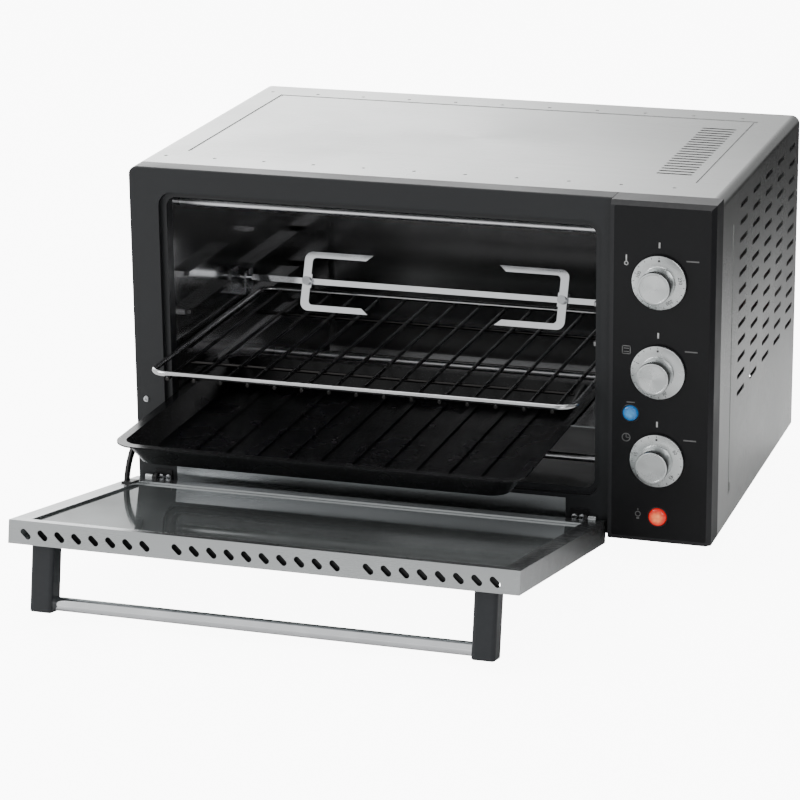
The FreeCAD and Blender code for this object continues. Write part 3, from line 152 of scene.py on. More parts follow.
class Effects:
    """The shader node groups that several finishes share, each built once."""

    def __init__(self) -> None:
        """Build every group."""
        self.streaks = self._make_streaks()
        self.handling = self._make_handling()
        self.moulding = self._make_moulding()
        self.dust = self._make_dust()

    @staticmethod
    def _start(name: str, inputs: dict[str, float], outputs: Sequence[str]) -> tuple:
        """Open a group with a Vector input, number inputs and number outputs.

        Args:
            name: The group's name.
            inputs: Number inputs and their starting values.
            outputs: Names of the number outputs.

        Returns:
            The tree, the sockets that its input node gives and the sockets that its output node takes.
        """
        tree = bpy.data.node_groups.new(name, "ShaderNodeTree")
        tree.interface.new_socket("Vector", in_out="INPUT", socket_type="NodeSocketVector")
        for label, value in inputs.items():
            socket = tree.interface.new_socket(label, in_out="INPUT", socket_type="NodeSocketFloat")
            socket.default_value = value
        for label in outputs:
            tree.interface.new_socket(label, in_out="OUTPUT", socket_type="NodeSocketFloat")
        return tree, tree.nodes.new("NodeGroupInput").outputs, tree.nodes.new("NodeGroupOutput").inputs

    def _make_streaks(self) -> bpy.types.NodeTree:
        """Fine parallel grinding lines, with slow bands across them."""
        tree, given, wanted = self._start("grinding_streaks", {"Fineness": 900.0}, ("Fine", "Broad"))
        slow = maths(tree, "MULTIPLY", given["Fineness"], 0.08)
        fine = add_node(tree, "TexNoise", {"Vector": given["Vector"], "Scale": given["Fineness"],
                                           "Detail": 5.0, "Roughness": 0.65})
        broad = add_node(tree, "TexNoise", {"Vector": given["Vector"], "Scale": slow, "Detail": 3.0})
        tree.links.new(fine.outputs["Fac"], wanted["Fine"])
        tree.links.new(broad.outputs["Fac"], wanted["Broad"])
        return tree

    def _make_handling(self) -> bpy.types.NodeTree:
        """Faint wiped patches with soft edges, from nought to one."""
        tree, given, wanted = self._start("handling_marks", {"Scale": 9.0}, ("Mask",))
        warp = add_node(tree, "TexNoise", {"Vector": given["Vector"], "Scale": 4.0})
        moved = add_node(tree, "VectorMath", {0: warp.outputs["Color"], 1: (0.12, 0.12, 0.12),
                                              2: given["Vector"]}, operation="MULTIPLY_ADD")
        patch = add_node(tree, "TexNoise", {"Vector": moved.outputs[0], "Scale": given["Scale"],
                                            "Detail": 4.0})
        tree.links.new(ramp(tree, patch.outputs["Fac"], 0.38, 0.66), wanted["Mask"])
        return tree

    def _make_moulding(self) -> bpy.types.NodeTree:
        """The tiny pebbled texture of an etched mould."""
        tree, given, wanted = self._start("moulded_texture", {"Scale": 1400.0}, ("Height",))
        at = {"Vector": given["Vector"], "Scale": given["Scale"]}
        cells = add_node(tree, "TexVoronoi", at, feature="SMOOTH_F1")
        cloud = add_node(tree, "TexNoise", {**at, "Detail": 2.0})
        height = maths(tree, "MULTIPLY", cells.outputs["Distance"], cloud.outputs["Fac"])
        tree.links.new(height, wanted["Height"])
        return tree

    def _make_dust(self) -> bpy.types.NodeTree:
        """Settled dust: upward faces, broken up by specks."""
        tree, given, wanted = self._start("settled_dust", {"Amount": 0.3, "Scale": 240.0}, ("Mask",))
        facing = add_node(tree, "NewGeometry")
        parts = add_node(tree, "SeparateXYZ", {0: facing.outputs["Normal"]})
        upward = maths(tree, "MAXIMUM", parts.outputs["Z"], 0.0)
        specks = add_node(tree, "TexNoise", {"Vector": given["Vector"], "Scale": given["Scale"],
                                             "Detail": 6.0})
        lying = maths(tree, "MULTIPLY", upward, specks.outputs["Fac"])
        tree.links.new(maths(tree, "MULTIPLY", lying, given["Amount"]), wanted["Mask"])
        return tree


class Recipe:
    """One material while it is being put together around its Principled shader."""

    def __init__(self, name: str, stretch: Sequence[float] = (1.0, 1.0, 1.0)) -> None:
        """Open a material.

        Args:
            name: The material's name.
            stretch: The scale of the pattern's coordinates along each axis.
        """
        self.material = bpy.data.materials.new(name)
        self.material.use_nodes = True
        self.tree = self.material.node_tree
        self.shader = self.tree.nodes["Principled BSDF"]
        self.plain = add_node(self.tree, "TexCoord").outputs["Object"]
        mapping = add_node(self.tree, "Mapping", {"Vector": self.plain, "Scale": stretch})
        self.place = mapping.outputs["Vector"]

    def put(self, **values: object) -> bpy.types.Material:
        """Set sockets of the shader, named with underscores for spaces, and return the material."""
        for label, value in values.items():
            self.shader.inputs[label.replace("_", " ")].default_value = value
        return self.material

    def link(self, output: bpy.types.NodeSocket, label: str) -> None:
        """Feed one of the shader's sockets."""
        self.tree.links.new(output, self.shader.inputs[label])

    def effect(self, group: bpy.types.NodeTree, at: bpy.types.NodeSocket | None = None,
               **values: float) -> Sequence[bpy.types.NodeSocket]:
        """Place a shared group.

        Args:
            group: The group.
            at: The coordinates that it reads, which are the object's own where none are given.
            **values: Its number inputs.

        Returns:
            The group's outputs, by name.
        """
        inputs = {"Vector": self.plain if at is None else at, **values}
        return add_node(self.tree, "Group", inputs, node_tree=group).outputs

    def span(self, value: bpy.types.NodeSocket, low: float, high: float) -> bpy.types.NodeSocket:
        """Spread a nought-to-one value between two numbers."""
        return ramp(self.tree, value, 0.0, 1.0, low, high)

    def mix(self, mask: bpy.types.NodeSocket, low: Colour | bpy.types.NodeSocket,
            high: Colour) -> bpy.types.NodeSocket:
        """Mix a colour, given as numbers or as a socket, with another one by a mask."""
        under = low if isinstance(low, bpy.types.NodeSocket) else (*low, 1.0)
        return add_node(self.tree, "Mix", {0: mask, 6: under, 7: (*high, 1.0)}, data_type="RGBA").outputs[2]

    def wear(self, mask: bpy.types.NodeSocket, colours: tuple[Colour, Colour],
             roughness: tuple[float, float]) -> None:
        """Vary the colour and the roughness by one mask, each between two values."""
        self.link(self.mix(mask, *colours), "Base Color")
        self.link(self.span(mask, *roughness), "Roughness")

    def relief(self, height: bpy.types.NodeSocket, strength: float, distance: float) -> None:
        """Raise the surface by a height, in metres of distance."""
        inputs = {"Height": height, "Strength": strength, "Distance": distance}
        self.link(add_node(self.tree, "Bump", inputs).outputs["Normal"], "Normal")


# ------------------------------------------------------------------ finishes


def shade(colour: Colour, factor: float) -> tuple[float, ...]:
    """Lighten or darken a colour."""
    return tuple(min(1.0, part * factor) for part in colour)


@dataclass(frozen=True)
class BrushedMetal:
    """Sheet or turned metal with parallel grinding lines."""

    name: str
    colour: Colour
    grain: Way
    roughness: float = 0.3
    contrast: float = 0.06
    relief: float = 0.12
    fineness: float = 1500.0
    grain_squeeze: float = 0.012
    dust_colour: Colour = (0.55, 0.54, 0.52)

    def material(self, effects: Effects) -> bpy.types.Material:
        """Build the material."""
        recipe = Recipe(self.name, tuple(self.grain_squeeze if part else 1.0 for part in self.grain.value))
        lines = recipe.effect(effects.streaks, recipe.place, Fineness=self.fineness)
        marks = recipe.effect(effects.handling, Scale=7.0)
        dust = recipe.effect(effects.dust, Amount=0.10)
        tone = recipe.mix(lines["Broad"], shade(self.colour, 1 - self.contrast),
                          shade(self.colour, 1 + self.contrast))
        recipe.link(recipe.mix(dust["Mask"], tone, self.dust_colour), "Base Color")
        wiped = recipe.span(marks["Mask"], -0.03, 0.04)
        ground = recipe.span(lines["Fine"], self.roughness - 0.05, self.roughness + 0.07)
        recipe.link(maths(recipe.tree, "ADD", ground, wiped), "Roughness")
        recipe.relief(lines["Fine"], self.relief, 0.0001)
        return recipe.put(Metallic=1.0, Anisotropic=0.35)


@dataclass(frozen=True)
class SpunMetal:
    """Metal turned on a lathe: fine rings that throw fan-shaped highlights."""

    name: str
    colour: Colour
    roughness: float = 0.26
    turning: float = 0.75
    fineness: float = 2200.0

    def material(self, effects: Effects) -> bpy.types.Material:
        """Build the material."""
        recipe = Recipe(self.name)
        lines = recipe.effect(effects.streaks, Fineness=self.fineness)
        marks = recipe.effect(effects.handling, Scale=60.0)
        tone = recipe.mix(lines["Fine"], shade(self.colour, 0.96), shade(self.colour, 1.03))
        recipe.link(tone, "Base Color")
        recipe.link(recipe.span(marks["Mask"], self.roughness - 0.03, self.roughness + 0.07), "Roughness")
        around = add_node(recipe.tree, "Tangent", direction_type="RADIAL", axis="Y")
        recipe.link(around.outputs["Tangent"], "Tangent")
        return recipe.put(Metallic=1.0, Anisotropic=self.turning)


@dataclass(frozen=True)
class PlainMetal:
    """Smooth plated or polished metal with faint wiped patches."""

    name: str
    colour: Colour
    roughness: float = 0.12
    mottle: float = 0.05

    def material(self, effects: Effects) -> bpy.types.Material:
        """Build the material."""
        recipe = Recipe(self.name)
        marks = recipe.effect(effects.handling, Scale=38.0)
        grains = recipe.effect(effects.moulding, Scale=2600.0)
        recipe.wear(marks["Mask"], (shade(self.colour, 1 - self.mottle), shade(self.colour, 1 + self.mottle)),
                    (self.roughness * 0.8, self.roughness * 1.35))
        recipe.relief(grains["Height"], 0.03, 0.00004)
        return recipe.put(Metallic=1.0)


@dataclass(frozen=True)
class Moulding:
    """Moulded plastic or rubber with an etched surface and a little dust."""

    name: str
    colour: Colour
    roughness: float = 0.42
    relief: float = 0.18
    grain: float = 1500.0
    coat: float = 0.0
    dust: float = 0.08
    shine: float = 0.4
    dust_colour: Colour = (0.42, 0.41, 0.39)

    def material(self, effects: Effects) -> bpy.types.Material:
        """Build the material."""
        recipe = Recipe(self.name)
        pebbles = recipe.effect(effects.moulding, Scale=self.grain)
        marks = recipe.effect(effects.handling, Scale=11.0)
        dust = recipe.effect(effects.dust, Amount=self.dust)
        tone = recipe.mix(marks["Mask"], self.colour, shade(self.colour, 1.18))
        recipe.link(recipe.mix(dust["Mask"], tone, self.dust_colour), "Base Color")
        recipe.link(recipe.span(marks["Mask"], self.roughness - 0.05, self.roughness + 0.06), "Roughness")
        recipe.relief(pebbles["Height"], self.relief, 0.00012)
        return recipe.put(Coat_Weight=self.coat, Specular_IOR_Level=self.shine)


@dataclass(frozen=True)
class Enamel:
    """Baked enamel, slightly wavy, with pale specks in the glaze."""

    name: str
    colour: Colour
    roughness: float = 0.13
    speck: Colour = (0.16, 0.16, 0.17)
    shine: float = 0.5
    coat: float = 0.4
    speck_scale: float = 520.0

    def material(self, effects: Effects) -> bpy.types.Material:
        """Build the material."""
        recipe = Recipe(self.name)
        specks = add_node(recipe.tree, "TexVoronoi", {"Vector": recipe.plain, "Scale": self.speck_scale})
        dots = ramp(recipe.tree, specks.outputs["Distance"], 0.16, 0.08)
        marks = recipe.effect(effects.handling, Scale=16.0)
        recipe.link(recipe.mix(dots, self.colour, self.speck), "Base Color")
        recipe.link(recipe.span(marks["Mask"], self.roughness, self.roughness + 0.12), "Roughness")
        recipe.relief(marks["Mask"], 0.12, 0.0004)
        return recipe.put(Specular_IOR_Level=self.shine, Coat_Weight=self.coat, Coat_Roughness=0.08)


@dataclass(frozen=True)
class Pane:
    """Toughened door glass with a thin reflecting layer and wiped smears."""

    name: str
    colour: Colour
    metallic: float = 0.55
    transmission: float = 0.75
    roughness: float = 0.03

    def material(self, effects: Effects) -> bpy.types.Material:
        """Build the material."""
        recipe = Recipe(self.name)
        marks = recipe.effect(effects.handling, Scale=6.0)
        recipe.wear(marks["Mask"], (self.colour, shade(self.colour, 1.12)),
                    (self.roughness, self.roughness + 0.05))
        return recipe.put(Metallic=self.metallic, Transmission_Weight=self.transmission, IOR=1.5)


@dataclass(frozen=True)
class LampLens:
    """A coloured lens lit from behind: a bright core, a deep rim and moulded facets."""

    node: str
    colour: Colour
    core: Colour
    glow: Colour
    strength: float
    facet_scale: float = 420.0

    def material(self, effects: Effects) -> bpy.types.Material:
        """Build the material."""
        low, high, middle = node_box(self.node)
        radius = (high.x - low.x) / 2
        recipe = Recipe(self.node)
        away = add_node(recipe.tree, "VectorMath", {0: recipe.plain, 1: middle}, operation="SUBTRACT")
        flat = add_node(recipe.tree, "VectorMath", {0: away.outputs[0], 1: (1.0, 0.0, 1.0)},
                        operation="MULTIPLY")
        length = add_node(recipe.tree, "VectorMath", {0: flat.outputs[0]}, operation="LENGTH")
        reach = ramp(recipe.tree, length.outputs["Value"], radius * 0.15, radius * 0.95, soft=True)
        facets = add_node(recipe.tree, "TexVoronoi", {"Vector": recipe.plain, "Scale": self.facet_scale})
        marks = recipe.effect(effects.handling, Scale=90.0)
        recipe.link(recipe.mix(marks["Mask"], shade(self.colour, 0.75), self.colour), "Base Color")
        lit = recipe.mix(reach, self.core, self.glow)
        edges = recipe.span(facets.outputs["Distance"], 0.0, 0.5)
        recipe.link(recipe.mix(edges, lit, shade(self.glow, 0.4)), "Emission Color")
        recipe.relief(facets.outputs["Distance"], 0.5, 0.0006)
        return recipe.put(Emission_Strength=self.strength, Roughness=0.14, Coat_Weight=0.5)


@dataclass(frozen=True)
class RackWire:
    """Plated wire whose lower bars are painted darker as shade."""

    name: str
    colour: Colour
    painted_shade: Colour
    node: str = "wire_rack"
    shade_from: float = 3.5
    shade_full: float = 4.7

    def material(self, effects: Effects) -> bpy.types.Material:
        """Build the material, with painted shade on the bars from one depth in millimetres below the rack's
        top to another.
        """
        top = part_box(self.node)[1][2]
        recipe = Recipe(self.name)
        parts = add_node(recipe.tree, "SeparateXYZ", {0: recipe.plain})
        # Painted shade: the bars below the top wires are darkened towards a near-black shade colour.
        lower = ramp(recipe.tree, parts.outputs["Z"], top - self.shade_from * MM, top - self.shade_full * MM)
        marks = recipe.effect(effects.handling, Scale=30.0)
        plate = recipe.mix(marks["Mask"], shade(self.colour, 0.9), self.colour)
        recipe.link(recipe.mix(lower, plate, self.painted_shade), "Base Color")
        recipe.link(recipe.span(marks["Mask"], 0.14, 0.26), "Roughness")
        return recipe.put(Metallic=1.0)


@dataclass(frozen=True)
class Ink:
    """Printed ink, a little worn."""

    name: str
    colour: Colour
    worn: Colour

    def material(self, effects: Effects) -> bpy.types.Material:
        """Build the material."""
        recipe = Recipe(self.name)
        marks = recipe.effect(effects.handling, Scale=160.0)
        recipe.wear(marks["Mask"], (self.colour, self.worn), (0.4, 0.6))
        return recipe.material


class Finish(Enum):
    """Every finish on the object."""

    HOUSING = BrushedMetal("brushed_housing", (0.56, 0.565, 0.56), Way.X, 0.27, 0.05)
    DOOR_TRIM = BrushedMetal("brushed_door_trim", (0.52, 0.535, 0.54), Way.X, 0.24, 0.05)
    GALVANISED = BrushedMetal("galvanised_sheet", (0.50, 0.51, 0.52), Way.Z, 0.42, 0.08)
    SILL = BrushedMetal("sill_steel", (0.30, 0.31, 0.32), Way.X, 0.30, 0.08)
    OVEN_LINING = BrushedMetal("oven_lining", (0.33, 0.33, 0.335), Way.Z, 0.16, 0.08, 0.05)
    SHEATH = BrushedMetal("heater_sheath", (0.88, 0.88, 0.90), Way.X, 0.34, 0.05)
    SPUN = SpunMetal("spun_knob_metal", (0.70, 0.72, 0.72))
    CHROME = PlainMetal("chrome_plate", (0.80, 0.81, 0.83), 0.08)
    # The second colour is painted shade on the rack's lower bars.
    RACK_WIRE = RackWire("rack_wire", (0.72, 0.72, 0.73), (0.045, 0.043, 0.042))
    PLATED = PlainMetal("zinc_plate", (0.62, 0.63, 0.65), 0.26, 0.08)
    MACHINED = PlainMetal("machined_steel", (0.42, 0.42, 0.44), 0.32, 0.10)
    FRAME = Moulding("frame_moulding", (0.017, 0.018, 0.020), 0.40, 0.12)
    PANEL = Moulding("panel_moulding", (0.016, 0.016, 0.018), 0.36, 0.10)
    FASCIA = Moulding("fascia_plate", (0.006, 0.006, 0.007), 0.34, 0.04, 2400.0, dust=0.04, shine=0.25)
    POST = Moulding("post_moulding", (0.016, 0.018, 0.021), 0.34, 0.14)
    PAINT = Moulding("dark_paint", (0.010, 0.010, 0.011), 0.34, 0.08, 900.0, coat=0.1)
    CASE = Moulding("control_case", (0.10, 0.09, 0.085), 0.5)
    RUBBER = Moulding("foot_rubber", (0.012, 0.012, 0.012), 0.7, 0.3, 700.0)
    GASKET = Moulding("door_gasket", (0.008, 0.008, 0.009), 0.6, 0.25, 900.0)
    CERAMIC = Moulding("ceramic_bush", (0.70, 0.68, 0.62), 0.6, 0.3, 800.0)
    TRAY = Enamel("tray_enamel", (0.004, 0.004, 0.0045), 0.2, (0.06, 0.06, 0.065), shine=0.22, coat=0.08)
    CRUMB_FLOOR = Enamel("crumb_floor_enamel", (0.008, 0.008, 0.009), 0.32, (0.03, 0.03, 0.03))
    GLASS = Pane("door_glass", (0.50, 0.53, 0.53))
    READY = LampLens("ready_lens", (0.02, 0.10, 0.25), (0.10, 0.46, 0.90), (0.01, 0.14, 0.42), 0.8)
    POWER = LampLens("power_lens", (0.30, 0.01, 0.01), (1.0, 0.30, 0.10), (0.55, 0.008, 0.004), 1.5)
    WHITE_INK = Ink("white_print", (0.62, 0.62, 0.62), (0.42, 0.42, 0.42))
    GREY_INK = Ink("grey_print", (0.16, 0.16, 0.16), (0.10, 0.10, 0.10))
    DIAL_INK = Ink("dial_print", (0.02, 0.02, 0.022), (0.05, 0.05, 0.05))


class Paintshop:
    """Keeps one material of each finish and puts it on nodes and pieces."""

    def __init__(self) -> None:
        """Build the shared effects."""
        self.effects = Effects()
        self.made: dict[Finish, bpy.types.Material] = {}

    def dress(self, item: bpy.types.Object, finish: Finish) -> None:
        """Give an object one finish in every slot, building its material the first time."""
        if finish not in self.made:
            self.made[finish] = finish.value.material(self.effects)
        if not item.material_slots:
            item.data.materials.append(self.made[finish])
        for held in item.material_slots:
            held.material = self.made[finish]


# ------------------------------------------------------------------ modelling


class Bench:
    """Modelling steps with Blender's own operators. Sizes are millimetres, places are frame metres."""

    def __init__(self, shop: Paintshop) -> None:
        """Keep the paintshop at hand."""
        self.shop = shop

    @staticmethod
    def clear() -> None:
        """Leave edit mode and deselect everything."""
        if bpy.context.object and bpy.context.object.mode != "OBJECT":
            bpy.ops.object.mode_set(mode="OBJECT")
        bpy.ops.object.select_all(action="DESELECT")

    @staticmethod
    def take(*items: bpy.types.Object) -> bpy.types.Object:
        """Select only these objects, the first of them active."""
        Bench.clear()
        for item in items:
            item.select_set(True)
        bpy.context.view_layer.objects.active = items[0]
        return items[0]

    @staticmethod
    def settle(item: bpy.types.Object, place: Matrix | None = None) -> bpy.types.Object:
        """Move an object to its place and bake that into its mesh."""
        Bench.take(item)
        if place is not None:
            item.matrix_world = place @ item.matrix_world
        bpy.ops.object.transform_apply(location=True, rotation=True, scale=True)
        return item

    @staticmethod
    def open_faces(item: bpy.types.Object) -> None:
        """Enter edit mode with every face selected."""
        Bench.take(item)
        bpy.ops.object.mode_set(mode="EDIT")
        bpy.ops.mesh.select_mode(type="FACE")
        bpy.ops.mesh.select_all(action="SELECT")

    @staticmethod
    def close_solid() -> None:
        """Turn every face of the open mesh outward and leave edit mode."""
        bpy.ops.mesh.select_all(action="SELECT")
        bpy.ops.mesh.normals_make_consistent(inside=False)
        bpy.ops.object.mode_set(mode="OBJECT")

    @staticmethod
    def bevel(item: bpy.types.Object, width: float) -> None:
        """Round the sharp edges with a bevel modifier, applied."""
        Bench.take(item)
        modifier = item.modifiers.new("rounding", "BEVEL")
        modifier.width = width * MM
        modifier.segments = 2
        modifier.limit_method = "ANGLE"
        modifier.angle_limit = math.radians(40)
        bpy.ops.object.modifier_apply(modifier=modifier.name)

    @staticmethod
    def smooth(item: bpy.types.Object, angle: float = 35.0) -> bpy.types.Object:
        """Shade smooth where faces meet gently."""
        Bench.take(item)
        bpy.ops.object.shade_smooth_by_angle(angle=math.radians(angle))
        return item

    @staticmethod
    def newest(name: str) -> bpy.types.Object:
        """Name the object that was just made, and its mesh."""
        item = bpy.context.view_layer.objects.active
        item.name = item.data.name = name
        return item

    def block(self, name: str, low: Sequence[float], high: Sequence[float],
              rounding: float = 0.3) -> bpy.types.Object:
        """A rounded block between two corners.

        Args:
            name: The piece's name.
            low: Lowest corner in millimetres of the space it is drawn in.
            high: Highest corner.
            rounding: Edge radius, or nought for sharp edges.

        Returns:
            The piece, still in its drawing space.
        """
        self.clear()
        bpy.ops.mesh.primitive_cube_add(size=1, location=[(a + b) / 2 * MM for a, b in zip(low, high)])
        item = self.newest(name)
        item.scale = [(b - a) * MM for a, b in zip(low, high)]
        self.settle(item)
        if rounding:
            self.bevel(item, rounding)
        return self.smooth(item)

    def bar(self, name: str, at: tuple[float, float], size: tuple[float, float],
            thick: float) -> bpy.types.Object:
        """A sharp-edged bar that stands forward of y = 0.

        Args:
            name: The piece's name.
            at: Its middle, across and up, in millimetres.
            size: Its width and height.
            thick: How far it stands forward.

        Returns:
            The piece, still in its drawing space.
        """
        (x, z), (wide, tall) = at, size
        return self.block(name, (x - wide / 2, -thick, z - tall / 2), (x + wide / 2, 0, z + tall / 2), 0)

    def turned(self, name: str, steps: Sequence[tuple[float, float]], sides: int = 64) -> bpy.types.Object:
        """A turned piece about +Z, made by extruding and scaling a disc's rim step by step.

        Args:
            name: The piece's name.
            steps: Radius and height of each ring, in millimetres.
            sides: Flats round the piece.

        Returns:
            The closed piece, standing in its drawing space.
        """
        self.clear()
        radius, height = steps[0]
        bpy.ops.mesh.primitive_circle_add(vertices=sides, radius=radius * MM, fill_type="NGON",
                                          location=(0, 0, height * MM))
        item = self.settle(self.newest(name))
        self.open_faces(item)
        for wide, tall in steps[1:]:
            rise = (tall - height) * MM
            bpy.ops.mesh.extrude_region_move(TRANSFORM_OT_translate={"value": (0, 0, rise)})
            factor = wide / radius
            bpy.ops.transform.resize(value=(factor, factor, 1), center_override=(0, 0, tall * MM))
            radius, height = wide, tall
        self.close_solid()
        return self.smooth(item, 30.0)

    def join(self, name: str, pieces: Sequence[bpy.types.Object]) -> bpy.types.Object:
        """Join pieces into one mesh."""
        self.take(*pieces)
        bpy.ops.object.join()
        return self.newest(name)

    def copy(self, item: bpy.types.Object, place: Matrix) -> bpy.types.Object:
        """Copy a piece, with its own mesh, to another place."""
        self.take(item)
        bpy.ops.object.duplicate(linked=False)
        return self.settle(bpy.context.object, place)

    def words(self, name: str, text: str, size: float, thick: float) -> bpy.types.Object:
        """Numbers or signs as a flat mesh, upright and facing -Y, about the drawing space's origin."""
        self.clear()
        bpy.ops.object.text_add(location=(0, 0, 0))
        letters = bpy.context.object.data
        letters.body = text
        letters.size = size * MM
        letters.extrude = thick * MM / 2
        letters.align_x = letters.align_y = "CENTER"
        letters.resolution_u = 3
        bpy.ops.object.convert(target="MESH")
        return self.settle(self.newest(name), FORWARD)

    def finish(self, item: bpy.types.Object, body: str, finish: Finish, slot: str,
               place: Matrix | None = None, stands_for: Sequence[str] = ()) -> None:
        """Put a piece in place, dress it, hide the CAD nodes that it stands for and make it ride on a body.

        Args:
            item: The piece.
            body: The body it moves with.
            finish: Its finish.
            slot: The record's material slot it belongs to. Not used.
            place: The move from its drawing space to the frame, where it isn't there yet.
            stands_for: CAD nodes that it replaces.
        """
        self.settle(item, place)
        self.shop.dress(item, finish)
        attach(item, body)
        if stands_for:
            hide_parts(*stands_for)
        log.info("%s rides on %s, %d faces", item.name, body, len(item.data.polygons))


# ------------------------------------------------------------------ sub-assemblies


@dataclass
class Assembly:
    """A sub-assembly: CAD nodes with their finishes, and finer pieces around them."""

    bench: Bench
    finishes: ClassVar[dict[Finish, str]] = {}

    def dress(self) -> None:
        """Put finishes on the CAD nodes, whose names are listed with spaces between them."""
        for finish, names in self.finishes.items():
            for name in names.split():
                self.bench.shop.dress(frame["nodes"][name], finish)


@dataclass
class Housing(Assembly):
    """The sheet housing: wrap, back, base, feet, fasteners and cord entry."""

    screw_radius: float = 2.6
    screw_high: float = 1.3
    screw_inset: float = 8.0
    frame_screw: tuple[float, float, float] = (9.0, 0.0, 78.0)
    bracket_length: float = 12.0
    finishes: ClassVar[dict[Finish, str]] = {
        Finish.HOUSING: "housing_wrap",
        Finish.GALVANISED: "back_panel base_plate",
        Finish.POST: "cord_gland",
    }

    def build(self) -> None:
        """Model the feet and the screws over their plain CAD forms."""
        for name in ("foot_front_left", "foot_rear_left", "foot_front_right", "foot_rear_right"):
            self._foot(name)
        self._screws()

    def _foot(self, name: str) -> None:
        """A tapered rubber foot with a rounded tread and a recessed fixing hole."""
        low, high, middle = node_box(name)
        tall = (high.z - low.z) / MM
        top = (high.x - low.x) / MM / 2
        tread = top - 3
        rings = [(3.2, 5.0), (3.6, 0.6), (4.4, 0.0), (tread - 1.6, 0.0), (tread - 0.5, 0.5), (tread, 1.6),
                 (top - 0.4, tall - 1.2), (top, tall - 0.4), (top - 0.3, tall)]
        foot = self.bench.turned(name + "_rubber", rings, 56)
        place = Matrix.Translation((middle.x, middle.y, low.z))
        self.bench.finish(foot, "oven_body", Finish.RUBBER, "foot_rubber", place, [name])

    def _screws(self) -> None:
        """Pan-head screws with dark crosses painted on as shade for their recesses, on the back, the front
        frame and the hinge brackets.
        """
        radius, tall = self.screw_radius, self.screw_high
        rings = [(radius, 0.0), (radius, tall * 0.35), (radius * 0.86, tall * 0.8), (radius * 0.55, tall)]
        head = self.bench.turned("screw_head", rings, 28)
        # Painted shade: each cross is a thin dark block on top of the head, standing in for the shade inside
        # a recessed slot.
        low, high = (-radius * 0.5, -0.22, tall - 0.02), (radius * 0.5, 0.22, tall + 0.04)
        bars = [self.bench.settle(self.bench.block("screw_cross_shade", low, high, 0), turn(angle, "Z"))
                for angle in (20, 110)]
        cross = self.bench.join("screw_cross_shade", bars)
        places = self._screw_places()
        # The crosses take the dark print finish as painted shade.
        for part, name, finish, stands_for in ((head, "screw_heads", Finish.PLATED, ["case_screws"]),
                                               (cross, "screw_cross_shades", Finish.DIAL_INK, [])):
            joined = self.bench.join(name, [self.bench.copy(part, place) for place in places])
            bpy.data.objects.remove(part)
            self.bench.finish(joined, "oven_body", finish, "plated_screw", stands_for=stands_for)

    def _screw_places(self) -> list[Matrix]:
        """Where each screw head sits, as the transform from its drawing space."""
        front, rear, _ = node_box("case_screws")
        low, high, _ = node_box("housing_wrap")
        wide, tall = (high.x - low.x) / MM, (high.z - low.z) / MM
        rise = self.screw_high * MM
        places = []
        for x in (self.screw_inset, wide / 2, wide - self.screw_inset):
            for z in (self.screw_inset, tall - self.screw_inset):
                at = spot(x, 0, z)
                places.append(Matrix.Translation((at.x, rear.y - rise, at.z)) @ BACKWARD)
        at = spot(*self.frame_screw)
        places.append(Matrix.Translation((at.x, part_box("front_frame")[0][1], at.z)) @ FORWARD)
        for name, shift in (("hinge_bracket_left", 2.5), ("hinge_bracket_right", 0.0)):
            low, _, middle = node_box(name)
            for part in (0.25, 0.75):
                x = low.x + (shift + self.bracket_length * part) * MM
                places.append(Matrix.Translation((x, front.y + rise, middle.z)) @ FORWARD)
        return places


@dataclass(frozen=True)
class Dial:
    """A knob and its printed scale, whose labels are spread evenly over an angle."""

    name: str
    labels: tuple[str, ...]
    sweep: float


